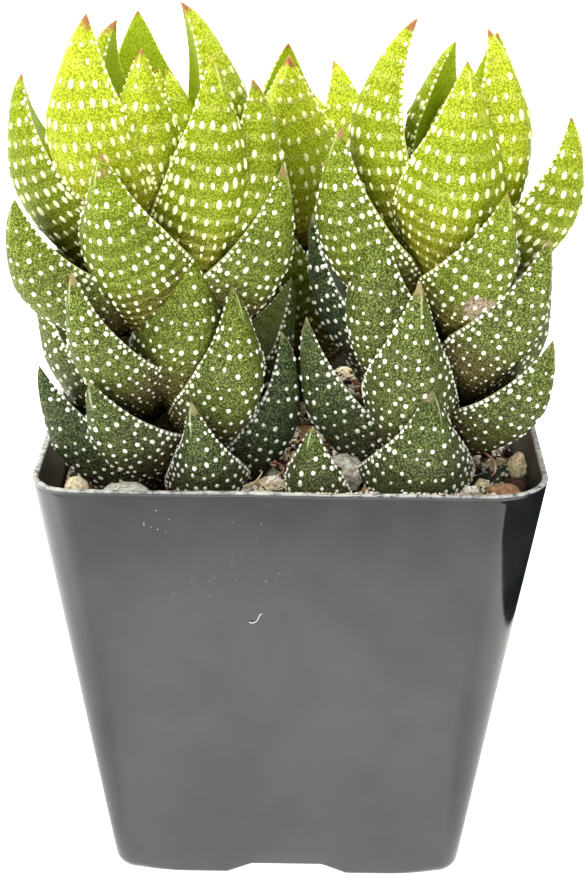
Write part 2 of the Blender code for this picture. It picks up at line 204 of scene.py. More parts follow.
camera = bpy.data.objects.new("camera", bpy.data.cameras.new("camera"))
bpy.context.scene.collection.objects.link(camera)
bpy.context.scene.camera = camera
level = math.cos(CAMERA_RISE)
towards_camera = Vector(
    (math.sin(CAMERA_TURN) * level, -math.cos(CAMERA_TURN) * level, math.sin(CAMERA_RISE))
)
camera.location = CAMERA_TARGET + towards_camera * CAMERA_DISTANCE
camera.rotation_mode = "QUATERNION"
camera.rotation_quaternion = (-towards_camera).to_track_quat("-Z", "Y") @ Quaternion((0, 0, 1), CAMERA_ROLL)
camera.data.lens = LENS
camera.data.sensor_width = 36.0
camera.data.clip_start = 0.01
print("camera at", [round(c, 4) for c in camera.location])

# %% [markdown]
# ## Light
#
# The plant stands on a white light table in a white room, with a soft box above and a little behind it, so
# the young leaves at the top glow, and a weaker one in front. A bright table is also what a glossy black
# pot shows: its grey is nearly all a reflection of it. The table is dimmer towards the photographer and in
# the pot's own shade, so the pot's front is darker at the top and its corners don't light up where the
# plastic mirrors most. To the right the table ends, and the dark room past it gives the black streak that
# runs down the rounded corner. A flat sheet that only reflections see stands for all of that.

# %% Floor and lights
ROOM_LIGHT = 0.9
FLOOR_CORNERS = [(-3, -3, 0), (3, -3, 0), (3, 3, 0), (-3, 3, 0)]
AIM = Vector((0, 0, 0.07))

scene = bpy.context.scene
scene.view_settings.view_transform = "Standard"
scene.view_settings.look = "None"
world = bpy.data.worlds.new("white room")
world.use_nodes = True
scene.world = world
background = world.node_tree.nodes["Background"].inputs
background["Color"].default_value = linear("#ffffff")
background["Strength"].default_value = ROOM_LIGHT

table_white, add = new_material("white acrylic light table")
glow = {"Emission Color": "#ffffff", "Emission Strength": ROOM_LIGHT}
add("OutputMaterial", [add("BsdfPrincipled", {"Base Color": "#f4f4f2", "Roughness": 0.9, **glow})])
floor = add_mesh("floor", FLOOR_CORNERS, [(0, 1, 2, 3)], table_white, smooth=False)
floor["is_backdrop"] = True


def soft_box(name, place, size, power, colour="#ffffff"):
    """A square soft box that faces the plant."""
    light = bpy.data.lights.new(name, "AREA")
    light.shape, light.size, light.energy = "SQUARE", size, power
    light.color = linear(colour)[:3]
    lamp = bpy.data.objects.new(name, light)
    scene.collection.objects.link(lamp)
    lamp.location = place
    lamp.rotation_euler = (AIM - Vector(place)).to_track_quat("-Z", "Y").to_euler()


soft_box("overhead soft box", (-0.12, 0.18, 0.75), 0.42, 11.5, "#fffdf4")
soft_box("front fill", (-0.25, -0.75, 0.42), 0.5, 3.4)


# %% What the pot mirrors
mirrored, add = new_material("light table and dark room, as mirrored")
place = add("TexCoord").outputs["Object"]
across, ahead = add("SeparateXYZ", [place]).outputs[:2]
beside = add("Math", [across], operation="ABSOLUTE")

# Grey levels on the table: how far in front of the pot, and how far to its side.
LEVEL = "#dcdcdc"
FRONT_SHADE = {0.0: "#babcba", 0.35: "#dfe2de", 0.66: "#e9ecea", 1.0: "#dde0dc"}
SIDE_SHADE = {0.04: LEVEL, 0.12: "#c6c6c6", 0.26: "#c8c8c8", 0.45: LEVEL, 0.7: "#eeeeee", 1.0: "#ffffff"}
front = add("ValToRGB", [add("MapRange", [ahead, -0.096, -0.036])], FRONT_SHADE)
side = add("ValToRGB", [add("MapRange", [beside, 0.020, 0.095])], SIDE_SHADE)
near = add("MapRange", [ahead, -0.085, -0.05], **SMOOTH)
side = add("Mix", {0: near, 6: LEVEL, 7: side}, **COLOURS)
table = add("Mix", {0: 1.0, 6: front, 7: side}, **TINTED)

# The table's right edge bends round a little, and the room past it has a few lighter things in it.
bend = add("Math", [ahead, 0.022], **SUM)
bend = add("Math", [bend, bend], **PRODUCT)
bend = add("Math", [bend, 4.6], **PRODUCT)
bend = add("Math", [bend, 0.014], operation="MINIMUM")
past = add("MapRange", [add("Math", [bend, across], **SUM), 0.0745, 0.0765], **SMOOTH)
clutter = add("TexNoise", {"Vector": place, "Scale": 40.0, "Detail": 3.0})
room = add("ValToRGB", [clutter], {0.35: "#040507", 0.55: "#0e1114", 0.75: "#2a3036"})
seen = add("Mix", {0: past, 6: table, 7: room}, **COLOURS)
add("OutputMaterial", [add("Emission", {"Color": seen, "Strength": 3.2})])
SHEET = [(x, y, 0.0006) for x, y in ((-0.6, -0.6), (0.6, -0.6), (0.6, 0.16), (-0.6, 0.16))]
mirrored_sheet = add_mesh("mirrored_sheet", SHEET, [(0, 1, 2, 3)], mirrored, smooth=False)
mirrored_sheet.visible_camera = mirrored_sheet.visible_shadow = mirrored_sheet.visible_diffuse = False
mirrored_sheet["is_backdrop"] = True

# %% [markdown]
# ## The pot
#
# This kind of pot is moulded from thin polypropylene: plain walls that lean out, rounded corners, and a low
# notch in the middle of each bottom edge so that water can leave. It is lofted as one closed shell. Every
# ring has the same columns of points, and a ring is only a height and an inset for each column. So the foot
# can be nearly sharp along the sides and round at the corners, and the notches lift the foot without losing
# its lip. Thin plastic is never quite true, so the walls wave a little, and the rim has the small burrs
# that the mould leaves.

# %% Pot sizes, in mm
RIM_WIDTH = 63.5
FOOT_WIDTH = 45.8
POT_HEIGHT = 60.3
WALL = 0.8
FLOOR_TOP = 2.2
SIDE_FOOT, CORNER_FOOT = 0.7, 2.0  # how round the foot's edge is
NOTCH_TOP, NOTCH_FOOT, NOTCH_HEIGHT, NOTCH_DEPTH, NOTCH_FADE = 9.4, 16.0, 1.4, 9.0, 3.0
LIFTED_BELOW = 4.0  # the notches lift only what is lower
CORNER_FADE = 6  # the rounder foot ends a sixth of the side from the corner
DRAIN_RADIUS, DRAIN_INSET = 2.0, 6.0
RIM_CORNERS = (7.0, 5.2, 5.4, 5.4)  # radii: right front, left front, left back, right back
FOOT_CORNERS = (3.0,) * 4
SIDE_POINTS, CORNER_POINTS = 60, 10
FOOT_ARC, INNER_ARC = 7, 5  # rings round the foot's edge, outside and inside
FLOOR_RINGS = (0.1, 0.3, 0.5, 0.62, 0.72, 0.8, 0.87, 0.92, 0.96)  # shares of the foot's width
OUTER_RIM = ((59.3, 0.0), (59.5, 0.04), (59.7, 0.05), (59.82, 0.0), (60.08, 0.0), (60.22, 0.07), (60.3, 0.22))
INNER_RIM = ((60.3, 0.2), (60.22, 0.05), (60.05, 0.0))  # height, and distance from the wall's face
OUTER_HEIGHTS = np.linspace(4.2, 59.0, 20)
INNER_HEIGHTS = (59.0, 57.5, 56, 54, 50, 40, 20, 8)
INNER_FLOOR_RINGS = (0.7, 0.3)
WAVE, WAVE_SHIFT, WAVE_WIDTH, WAVE_HEIGHT = 0.16, -0.115, 17, 26
STIFF_BELOW = 30  # the walls wave less and less from here down
FINE_BURR, BROAD_BURR, BURR_SHIFT = (0.09, 1.6), (0.12, 9), -0.17  # height and width
BURRS_FROM, BURR_ZONE = 59.2, 1.1


def outer_width(z):
    """The outside width of the wall at a height."""
    return FOOT_WIDTH + (RIM_WIDTH - FOOT_WIDTH) * z / POT_HEIGHT


# %% Columns of the wall
def wall_columns(radii):
    """The slope, offset, outward direction and share of corner of each column, for four corner radii."""
    columns = []
    for quarter, radius in enumerate(radii):
        after = radii[(quarter + 1) % 4]
        turn = np.linalg.matrix_power(np.array([[0, 1], [-1, 0]]), quarter)
        for angle in -math.pi / 2 * np.arange(CORNER_POINTS) / CORNER_POINTS:
            offset = (radius * (math.cos(angle) - 1), radius * (math.sin(angle) + 1))
            columns.append((turn @ (1, -1), turn @ offset, turn @ (math.cos(angle), math.sin(angle)), 1.0))
        for share in np.arange(SIDE_POINTS) / SIDE_POINTS:
            offset = (after * share - radius * (1 - share), 0)
            corner_share = max(0.0, 1 - min(share, 1 - share) * CORNER_FADE) ** 2
            columns.append((turn @ (1 - 2 * share, -1), turn @ offset, turn @ (0, -1), corner_share))
    return [np.array(numbers, float) for numbers in zip(*columns)]


slopes, rim_offsets, outwards, corner_shares = wall_columns(RIM_CORNERS)
foot_offsets = wall_columns(FOOT_CORNERS)[1]
foot_round = SIDE_FOOT + (CORNER_FOOT - SIDE_FOOT) * corner_shares
COLUMNS = len(foot_round)


def wall_ring(z, inset, shrink=1.0):
    """One ring of points in mm, at its height, and moved in from the outer wall."""
    z, inset = (np.broadcast_to(np.asarray(v, float), COLUMNS)[:, None] for v in (z, inset))
    offsets = foot_offsets + (rim_offsets - foot_offsets) * z / POT_HEIGHT
    flat = slopes * outer_width(z) / 2 + offsets - outwards * inset
    return np.column_stack([flat * shrink, z])


def notch_lift(x, y):
    """How far the foot is lifted at a point."""
    across = np.minimum(np.abs(x), np.abs(y))
    inward = FOOT_WIDTH / 2 - np.maximum(np.abs(x), np.abs(y))
    side = np.clip((NOTCH_FOOT / 2 - across) / ((NOTCH_FOOT - NOTCH_TOP) / 2), 0, 1)
    depth = np.clip((NOTCH_DEPTH - inward) / NOTCH_FADE, 0, 1)
    return NOTCH_HEIGHT * side * depth * depth * (3 - 2 * depth)


# %% Loft the pot
outside = [wall_ring(0, foot_round, shrink) for shrink in FLOOR_RINGS]
for angle in np.linspace(0, math.pi / 2, FOOT_ARC):
    outside.append(wall_ring(foot_round * (1 - math.cos(angle)), foot_round * (1 - math.sin(angle))))
outside += [wall_ring(z, 0) for z in OUTER_HEIGHTS]
outside += [wall_ring(z, inset) for z, inset in OUTER_RIM]
inside = [wall_ring(z, WALL - inset) for z, inset in INNER_RIM]
inside += [wall_ring(z, WALL) for z in INNER_HEIGHTS]
inner_round = np.maximum(foot_round - WALL, 0.5)
for angle in np.linspace(0, math.pi / 2, INNER_ARC):
    z = FLOOR_TOP + inner_round * (1 - math.sin(angle))
    inside.append(wall_ring(z, WALL + inner_round * (1 - math.cos(angle))))
inside += [wall_ring(FLOOR_TOP, WALL + inner_round, shrink) for shrink in INNER_FLOOR_RINGS]

points = np.vstack(outside + inside)
lifted = notch_lift(points[:, 0], points[:, 1]) * np.clip(1 - points[:, 2] / LIFTED_BELOW, 0, 1)
lifted[len(outside) * COLUMNS :] = 0
points[:, 2] += lifted
for p in points:
    away = Vector((p[0], p[1], 0)).normalized()
    wave = WAVE * noise.noise(Vector((p[0] / WAVE_WIDTH, p[1] / WAVE_WIDTH, p[2] / WAVE_HEIGHT))) + WAVE_SHIFT
    wave *= min(p[2] / STIFF_BELOW, 1.0)
    near_rim = max(p[2] - BURRS_FROM, 0.0) / BURR_ZONE
    burr = BURR_SHIFT
    for layer, (high, wide) in ((3.0, FINE_BURR), (8.0, BROAD_BURR)):
        burr += high * noise.noise(Vector((p[0] / wide, p[1] / wide, layer)))
    p[0] += away.x * wave
    p[1] += away.y * wave
    p[2] += near_rim * burr
rings = len(outside) + len(inside)
faces = [(a, d, c, b) for a, b, c, d in ring_faces(rings, COLUMNS)]
faces.append(tuple(range(COLUMNS)))
faces.append(tuple(reversed(range((rings - 1) * COLUMNS, rings * COLUMNS))))
inner_side = np.repeat([0.0] * len(outside) + [1.0] * len(inside), COLUMNS)
print("pot rings:", rings, "columns:", COLUMNS)

# %% [markdown]
# ## Black polypropylene
#
# Nursery pots are black because of carbon black in the plastic, so next to no light comes out of it and its
# look is all gloss. Handling leaves faint smudges that take a little of the gloss away, potting leaves dust
# near the rim, and the cut top of the rim is painted pale grey, partly as scuffed plastic and partly as a
# painted highlight. The inside is dull from soil.

# %% Pot material
pot_plastic, add = new_material("black polypropylene, injection moulded")
place = add("TexCoord").outputs["Object"]
inner = add("Attribute", attribute_name="inner").outputs["Fac"]
height = add("SeparateXYZ", [place]).outputs["Z"]
NOISES = ((130, 4, 0.6), (42, 2, 0.5), (2600, 1, 0.5), (1500, 2, 0.5), (900, 3, 0.7))
smudge, haze, specks, grain, scuffs = (
    add("TexNoise", {"Vector": place, "Scale": scale, "Detail": detail, "Roughness": share})
    for scale, detail, share in NOISES
)

# Dust lies in two loose clusters near the rim, thinly on the rest of the wall, and all over the inside.
DUST_CLUSTERS = ((-0.0162, -0.031, 0.0562), (-0.0058, -0.031, 0.0566))
cluster = add("MapRange", [haze, 0.55, 0.8, 0.0, 0.4], **SMOOTH)
high = add("MapRange", [height, 0.025, 0.055, 0.1, 1.0], **SMOOTH)
zone = add("Math", [cluster, high], **PRODUCT)
for spot in DUST_CLUSTERS:
    away = add("VectorMath", [place, spot], operation="DISTANCE").outputs["Value"]
    zone = add("Math", [zone, add("MapRange", [away, 0.0038, 0.0012], **SMOOTH)], **LARGER)
zone = add("Math", [zone, inner], **LARGER)
grains = add("MapRange", [specks, 0.72, 0.77], **SMOOTH)
dusty = add("Math", [zone, grains], **PRODUCT)
# Painted highlight: the rim's top is painted pale grey, partly as scuffed plastic and partly as the light it
# catches.
on_rim = add("MapRange", [height, 0.0598, 0.06015], **SMOOTH)
worn = add("MapRange", [scuffs, 0.3, 0.62], **SMOOTH)
scuff_and_highlight = add("Math", [on_rim, worn], **PRODUCT)
blotch = add("Math", [smudge, haze], **SUM)
colour = "#111212"
cloudy = add("MapRange", [blotch, 0.8, 1.2], **SMOOTH)
for share, shade in ((cloudy, "#1f2120"), (scuff_and_highlight, "#b4b4b0"), (dusty, "#a8a69c")):
    colour = add("Mix", {0: share, 6: colour, 7: shade}, **COLOURS)
rough = add("MapRange", [smudge, 0.3, 0.75, 0.05, 0.11], **SMOOTH)
dull = add("Math", [inner, 0.45], **PRODUCT)
rough = add("Math", [rough, dull], **SUM)
rough = add("Math", [rough, scuff_and_highlight], use_clamp=True, **LARGER)
bump = add("Bump", {"Height": grain, "Strength": 0.04, "Distance": 0.00004})
gloss = {"Roughness": rough, "IOR": 1.5, "Specular IOR Level": 0.95}
add("OutputMaterial", [add("BsdfPrincipled", {"Base Color": colour, "Normal": bump, **gloss})])

# %% Make the pot and drill its drains
pot = add_mesh("nursery_pot", points * MM, faces, pot_plastic, {"inner": inner_side})
turn_outwards(pot)
SHARP_EDGE = math.radians(50)
DRILL = {"radius1": DRAIN_RADIUS * MM, "radius2": DRAIN_RADIUS * MM, "depth": 0.01}
for quarter in range(4):
    drill = bmesh.new()
    at = Matrix.Rotation(math.pi / 2 * quarter, 4, "Z")
    at = at @ Matrix.Translation((0, (DRAIN_INSET - FOOT_WIDTH / 2) * MM, 0.002))
    bmesh.ops.create_cone(drill, cap_ends=True, segments=28, matrix=at, **DRILL)
    drill_mesh = bpy.data.meshes.new("drill")
    drill.to_mesh(drill_mesh)
    drill.free()
    drill_object = bpy.data.objects.new("drill", drill_mesh)
    scene.collection.objects.link(drill_object)
    cut = pot.modifiers.new("drain", "BOOLEAN")
    cut.operation, cut.object, cut.solver = "DIFFERENCE", drill_object, "EXACT"
    pot.data = bpy.data.meshes.new_from_object(pot.evaluated_get(bpy.context.evaluated_depsgraph_get()))
    pot.modifiers.clear()
    bpy.data.objects.remove(drill_object)
pot.data.materials.clear()
pot.data.materials.append(pot_plastic)
pot.data.shade_smooth()
pot.data.set_sharp_from_angle(angle=SHARP_EDGE)
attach(pot, "root")
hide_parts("pot")
print("pot:", len(pot.data.polygons), "faces, inner kept:", "inner" in pot.data.attributes)

# %% [markdown]
# ## How a leaf grows
#
# Every leaf follows one rule, the same one that made the solids. It leaves the stem at a low angle, swings
# upright, swells to its full width a third of the way up and runs out in a point. Its back is domed and its
# face hollow. Each row of numbers is one leaf: its azimuth (0 points to the front, positive to the right),
# the height of its root, its length, and how it leans, sways and curls, with zeros left out at the end.
# Lengths are in mm and angles in degrees. Tone makes a leaf look fresher or older than its place on the
# stem says, and girth makes it stouter or slimmer than others of its length.


# %% The leaves and shoots
class Leaf(NamedTuple):
    azimuth: float
    root: float
    length: float
    lean: float = 0.0
    sway: float = 0.0
    curl: float = 0.0
    tone: float = 0.0
    girth: float = 1.0


class Shoot(NamedTuple):
    name: str
    slot: str
    place: tuple
    slant: float  # how far the stem goes to the side, in mm for each mm of height
    height: float
    leaves: tuple
    ranks: tuple  # azimuth, and height of the highest leaf


RIGHT = Shoot(
    "rosette_right",
    "right_leaves",
    (17.5, -12.0),
    0.06,
    37.0,
    (
        (-18.3, -1, 24.9, -6, 56.1, 29, 0.12, 1.1),
        (52.2, 9.1, 21.8, -16.2, -1.7, 8.6, 0, 1.05),
        (-75.2, 3.4, 26.8, 0, 10.7, 3.9, -0.05, 0.84),
        (-30, 5.2, 30.6, 12.2, 58.4, -3.1, 0.12, 0.73),
        (39.5, 16.5, 25.8, -4.7, 12.5, -4.6, -0.05, 0.88),
        (-50.3, 14.1, 26.9, 3, 1, 16.4, -0.02, 0.92),
        (12.2, 24.6, 23.2, -15.9, 31.2, 8.3, -0.04),
        (-105, 15.5, 25, -8, 0, 0, -0.4),
        (-80, 25.7, 27, -17.5, 24, 22.4, -0.06),
        (62, 31.5, 24.3, -29.2, -1, 28.2, -0.06, 1.02),
        (-1.8, 28.8, 29.7, 11.2, 25, -8.1, 0.1, 0.96),
        (-94.9, 31.5, 30.9, -1.2, 13.6, 26.9, 0.05, 0.86),
        (-149.4, 32.1, 26, 17.5, 24.2, 1.8, 0, 0.84),
        (39.4, 34.6, 26.6, 5.5, 23.9, 10.1, 0.03, 0.89),
        (142, 33, 26, 4, 0, 0, 0.05),
        (79, -2.5, 12.5, -12),
    ),
    ((114, 11), (142, 19.5), (185, 17.5), (228, 24)),
)
LEFT = Shoot(
    "rosette_left",
    "left_leaves",
    (-14.5, -12.0),
    -0.06,
    38.0,
    (
        (-86, 31, 28.2, -24.1, 1.6, 20.8, -0.05, 1.04),
        (-68.4, 33.6, 29.5, 0, 28.4, 5.7, 0.07, 1.06),
        (-113.8, 33.9, 26.8, 2.2, 12.4, 13.6, 0, 1.04),
        (200, 35, 26, -2, -6),
        (-16, 36, 22.4, 8, 4, -4, 0, 0.9),
        (85, 32.6, 30.6, 13.8, 23.3, 6.5, 0.05),
        (45.2, 28.3, 30.9, 1.8, -20.9, 9.5, 0.12, 0.79),
        (-21, 25, 27, -9, -7),
        (-65, 26.6, 25.1, -53.2, 19, 46, -0.2, 1.17),
        (-100, 8.5, 24.5, -7, 0, 0, 0.08),
        (-36.2, 13.6, 26.6, -18.8, 0, 19.1, 0, 0.74),
        (14.7, 14, 23, 8.5, 7.5, 12.6, 0.14, 1.04),
        (41.6, 8.6, 26.2, -14, -16.5, 45.4, 0.14, 0.82),
        (-29, 5.5, 22, -13, -6),
        (33.8, -2.2, 26, -3.1, -75, 9, 0.06, 0.75),
        (-67.1, 0.8, 24.7, 0, 5.3, -7.3),
        (73.2, 0.6, 26.4, -2.1, -5.9, 25.9, 0, 0.78),
        (74, 28.8, 27.4, -3, -2.7, 5.7, 0.02, 1.14),
        (70.4, 22.8, 25.7, -11.1, -3.4, 6.9, -0.04),
    ),
    ((113, 22), (158, 27), (200, 20), (243, 26)),
)
BACK = Shoot(
    "rosette_back",
    "back_leaves",
    (1.0, 15.0),
    0.0,
    29.0,
    (
        (-10.6, 28.3, 26.1, -3.1, -1.8, -4.7, 0.1, 1.07),
        (48.6, 26.3, 25, 3.9, 9.7, 12.5, 0.1, 1.09),
        (177, 20.5, 24, 0, -5, 0, 0.1),
        (-153.6, 27, 24.6, 6.3, -2.3, 4.2, -0.1, 1.05),
    ),
    ((-14, 13), (32, 12), (78, 15), (122, 23), (177, 7), (222, 12), (262, 14), (303, 19)),
)
PUP = Shoot(
    "offset_front",
    "offset_leaves",
    (4.6, -20.0),
    0.0,
    4.0,
    (
        (-18, -1, 16, 17, 0, 0, -0.1),
        (150, 0, 8, 26),
        (-135, 0, 8.5, 24),
    ),
    (),
)
MIX_LEVEL = 53.0
LEAF_ROOT_RADIUS = 2.2
RANK_PITCH = 13.7  # from a leaf to the next one above it in its rank
BUD_SPIRAL = 137.5


def all_leaves(shoot):
    """The leaves at the front, the ranks behind them and the young leaves in the heart."""
    leaves = [Leaf(*row) for row in shoot.leaves]
    for azimuth, root in shoot.ranks:
        while root > 2:
            leaves.append(Leaf(azimuth, root, 22 + 4 * root / shoot.height, lean=-4))
            root -= RANK_PITCH
    if shoot is not PUP:
        for i in range(3):
            leaves.append(Leaf(BUD_SPIRAL * i + 60, shoot.height - 0.5 + i, 17 - i, lean=18 + 4 * i))
    return leaves


print({shoot.name: len(all_leaves(shoot)) for shoot in (LEFT, RIGHT, BACK, PUP)})


# %% Leaf shape
WIDEST = 0.35  # share of the length
SPINE_STEPS = 160
ROOT_RISE, TIP_RISE = (28, 28), (74, 22)  # degrees, at the lowest leaves, and more at the highest
KEEL_HEIGHT, KEEL_WIDTH = 0.16, 0.2  # mm
ROW_GAPS = ((0.1, 0.85), (0.42, 1.5), (0.75, 1.65))  # place along the leaf, and mm from row to row


def leaf_share(leaf, shoot):
    """Where the leaf stands between the mix, 0, and the top of the stem, 1."""
    return 0.2 if shoot is PUP else min(max(leaf.root / shoot.height, 0.0), 1.0)


def leaf_spine(leaf, shoot, t):
    """At each share t along it: point, outward and sideways directions, half width, depth and hollow."""
    share = leaf_share(leaf, shoot)
    rise_root = math.radians(ROOT_RISE[0] + ROOT_RISE[1] * share + leaf.lean)
    rise_tip = math.radians(TIP_RISE[0] + TIP_RISE[1] * share + leaf.lean + leaf.curl)
    width = leaf.girth * leaf.length * (0.54 - 0.03 * share)

    def directions(t):
        rise = rise_root + (rise_tip - rise_root) * t
        azimuth = np.radians(leaf.azimuth + leaf.sway * t)
        away = np.stack([np.sin(azimuth), -np.cos(azimuth), np.zeros_like(t)], axis=-1)
        up = np.array([0.0, 0.0, 1.0])
        along = away * np.cos(rise)[..., None] + up * np.sin(rise)[..., None]
        return along, away * np.sin(rise)[..., None] - up * np.cos(rise)[..., None]

    middle = (np.arange(SPINE_STEPS) + 0.5) / SPINE_STEPS
    path = np.cumsum(directions(middle)[0], axis=0) * leaf.length / SPINE_STEPS
    start = np.array([shoot.place[0] + shoot.slant * leaf.root, shoot.place[1], MIX_LEVEL + leaf.root])
    azimuth = math.radians(leaf.azimuth)
    start = start + np.array([math.sin(azimuth), -math.cos(azimuth), 0.0]) * LEAF_ROOT_RADIUS
    path = np.vstack([start, start + path])
    knots = np.arange(SPINE_STEPS + 1) / SPINE_STEPS
    point = np.stack([np.interp(t, knots, path[:, i]) for i in range(3)], axis=-1)
    along, outward = directions(t)
    swell = 0.5 + 0.5 * np.sin(np.minimum(t / WIDEST, 1.0) * math.pi / 2)
    taper = np.maximum(t - WIDEST, 0.0) / (1 - WIDEST)
    slim = 1 - 0.13 * np.sin(math.pi * np.clip((t - 0.62) / 0.38, 0, 1))  # a drawn-out point
    half = 0.5 * width * swell * (1 - taper**1.65) * slim
    depth = 0.38 * width * (1 - taper**2.2) * slim
    return point, outward, np.cross(outward, along), half, depth, 0.18 * width * (1 - taper) ** 1.5


def keel_height(t, s, half, keel):
    """How much of the keel, the ridge below the tip, a point has: 0 to 1."""
    along = np.clip((t - 0.76) / 0.12, 0, 1) * np.clip((1 - t) / 0.05, 0, 1)
    return along * np.exp(-(((s - keel) * half / KEEL_WIDTH) ** 2))


def leaf_back(leaf, shoot, t, s, keel):
    """Points on the domed back, in mm, at shares t along and s across (-1 to 1)."""
    point, outward, side, half, depth, hollow = leaf_spine(leaf, shoot, t)
    back = depth * np.maximum(1 - s * s, 0.0) ** 0.62 - hollow * s * s
    back = back + KEEL_HEIGHT * keel_height(t, s, half, keel)
    return point + side * (half * s)[..., None] + outward * back[..., None]


def leaf_face(leaf, shoot, t, s):
    """Points on the hollow face that looks to the stem."""
    point, outward, side, half, depth, hollow = leaf_spine(leaf, shoot, t)
    inner = -hollow * s * s - 0.06 * depth * (1 - s * s)
    return point + side * (half * s)[..., None] + outward * inner[..., None]


def leaf_freshness(leaf, shoot, chance):
    """0 for the oldest, lowest leaves and 1 for the young ones at the top."""
    share = leaf_share(leaf, shoot)
    if shoot is BACK:
        share = 0.4 + 0.6 * share
    return min(max(share + leaf.tone + chance.uniform(-0.03, 0.03), 0.0), 1.0)


def pearl_rows(leaf, freshness, t):
    """The number of the pearl row at each share t: the rows stand at whole numbers."""
    wide = 0.5 * np.clip((freshness - 0.55) / 0.35, 0, 1)
    knots = np.linspace(0, 1, 101)
    (first, close), *further = ROW_GAPS
    gaps = [close] + [gap + wide for _, gap in further]
    spacing = np.interp(knots, [first] + [place for place, _ in further], gaps)
    rows = np.concatenate([[0], np.cumsum(leaf.length / 100 / spacing[1:])])
    return np.interp(t, knots, rows)


# %% [markdown]
# ## Leaf skin
#
# A haworthia leaf is a thick, juicy wedge. Its skin is finely granular, and light goes some way into it, so
# the young leaves at the top, which are full of light, look yellow and nearly lit from inside; their bright
# yellow colour is partly painted light for that glow. Leaves go darker and duller with age and lower down,
# partly as painted shade under the leaves above. Each one is painted dark brown at its base, partly its own
# brown and partly painted shade where it hides from the light, and tan at its dry tip. The colour therefore
# follows values that are kept on the mesh: how far along the leaf a point is, the leaf's freshness, the
# pearl row, and where the pale margin, the keel and a few dry scars are.

# %% Leaf skin material
leaf_skin, add = new_material("haworthia leaf skin")
place = add("TexCoord").outputs["Object"]
along, fresh, row, margin, keel_line, scar, blush, inner = (
    add("Attribute", attribute_name=name).outputs["Fac"]
    for name in ("along", "freshness", "row", "margin", "keel", "scar", "blush", "inner")
)
mottle = add("TexNoise", {"Vector": place, "Scale": 380.0, "Detail": 2.0})
granule = add("TexVoronoi", {"Vector": place, "Scale": 4000.0})
wander = add("Math", [mottle, 0.2, -0.1], operation="MULTIPLY_ADD")
reach = add("Math", [along, wander], **SUM)

# The colour at four places along the leaf, each from the oldest leaves to the freshest. The dark brown at the
# base is partly painted shade, the darker lower leaves hold painted shade too, and the bright yellow of the
# freshest is partly painted light.
ALONG_THE_LEAF = (
    {0.0: "#1e1612", 0.4: "#3a2a18", 0.85: "#53410a", 1.0: "#77630c"},
    {0.0: "#524d39", 0.15: "#635c3e", 0.4: "#6d613d", 0.65: "#5c551d", 0.85: "#696909", 1.0: "#aaac19"},
    {0.0: "#4d5c41", 0.15: "#666e48", 0.4: "#75833e", 0.65: "#768522", 0.85: "#91a217", 1.0: "#c3d226"},
    {0.0: "#516040", 0.15: "#687740", 0.4: "#829439", 0.65: "#92a622", 0.85: "#aabc1d", 1.0: "#d7e836"},
)
CHANGES = ((0.06, 0.22), (0.26, 0.52), (0.60, 0.86))
colour = add("ValToRGB", [fresh], ALONG_THE_LEAF[0])
for stops, (low, high) in zip(ALONG_THE_LEAF[1:], CHANGES):
    further = add("ValToRGB", [fresh], stops)
    share = add("MapRange", [reach, low, high], **SMOOTH)
    colour = add("Mix", {0: share, 6: colour, 7: further}, **COLOURS)

# Pale bands cross the back under each row of pearls, most plainly on fresh leaves.
bands = add("Math", [add("Math", [row, 2 * math.pi], **PRODUCT)], operation="COSINE")
on_back = add("MapRange", [inner, 0.0, 0.5, 1.0, 0.0], **SMOOTH)
strength = add("MapRange", [fresh, 0.4, 0.9, 0.05, 0.26], **SMOOTH)
strength = add("Math", [strength, on_back], **PRODUCT)
banded = add("MapRange", [bands, -0.1, 1.0], **SMOOTH)
banded = add("Math", [banded, strength], **PRODUCT)
colour = add("Mix", {0: banded, 6: colour, 7: "#e6ee7c"}, **COLOURS)

# The hollow face of a young leaf is painted lighter: painted light, for the light of its back that comes
# through.
painted_through_light = add("Math", [inner, fresh], **PRODUCT)
painted_through_light = add("MapRange", [painted_through_light, 0.55, 0.95, 0.0, 0.6], **SMOOTH)
colour = add("Mix", {0: painted_through_light, 6: colour, 7: "#b4cc26"}, **COLOURS)

# Granules 0.25 mm apart: light in their middle and dark between them.
grains = add("ValToRGB", [granule], {0.1: "#ffffff", 0.34: "#dcdcd2", 0.6: "#9a9a90", 0.8: "#787870"})
grained = add("Mix", {0: 1.0, 6: colour, 7: grains}, **TINTED)
graininess = add("MapRange", [inner, 0.0, 1.0, 1.0, 0.7], **SMOOTH)
softened = add("MapRange", [fresh, 0.3, 0.85, 1.0, 0.75], **SMOOTH)
graininess = add("Math", [graininess, softened], **PRODUCT)
colour = add("Mix", {0: graininess, 6: colour, 7: grained}, **COLOURS)
# Painted highlight: a pale glint painted on the middle of each granule.
painted_glint = add("MapRange", [granule, 0.28, 0.08, 0.0, 0.45], **SMOOTH)
colour = add("Mix", {0: painted_glint, 6: colour, 7: "#d2dc9c"}, **COLOURS)

# Rust at the foot of some old leaves, a tan or pink tip, the pale margin and keel, and dry scars.
rust = add("MapRange", [mottle, 0.35, 0.65], **SMOOTH)
rust = add("Math", [rust, blush], **PRODUCT)
colour = add("Mix", {0: rust, 6: colour, 7: "#6b3c1c"}, **COLOURS)
tip = add("ValToRGB", [fresh], {0.0: "#8a8460", 0.5: "#8e7450", 0.8: "#8a5642", 1.0: "#8c4e3c"})
cream = add("ValToRGB", [fresh], {0.0: "#b4b89a", 0.5: "#c0c482", 1.0: "#d9dd7c"})
bark = add("ValToRGB", [granule], {0.1: "#b4a890", 0.4: "#8c8068", 0.7: "#5e5240"})
for found, low, high, most, shade in (
    (reach, 0.94, 0.99, 0.92, tip),
    (margin, 0.45, 0.95, 0.75, cream),
    (keel_line, 0.45, 1.0, 0.6, cream),
    (scar, 0.45, 0.62, 1.0, bark),
):
    share = add("MapRange", [found, low, high, 0.0, most], **SMOOTH)
    colour = add("Mix", {0: share, 6: colour, 7: shade}, **COLOURS)

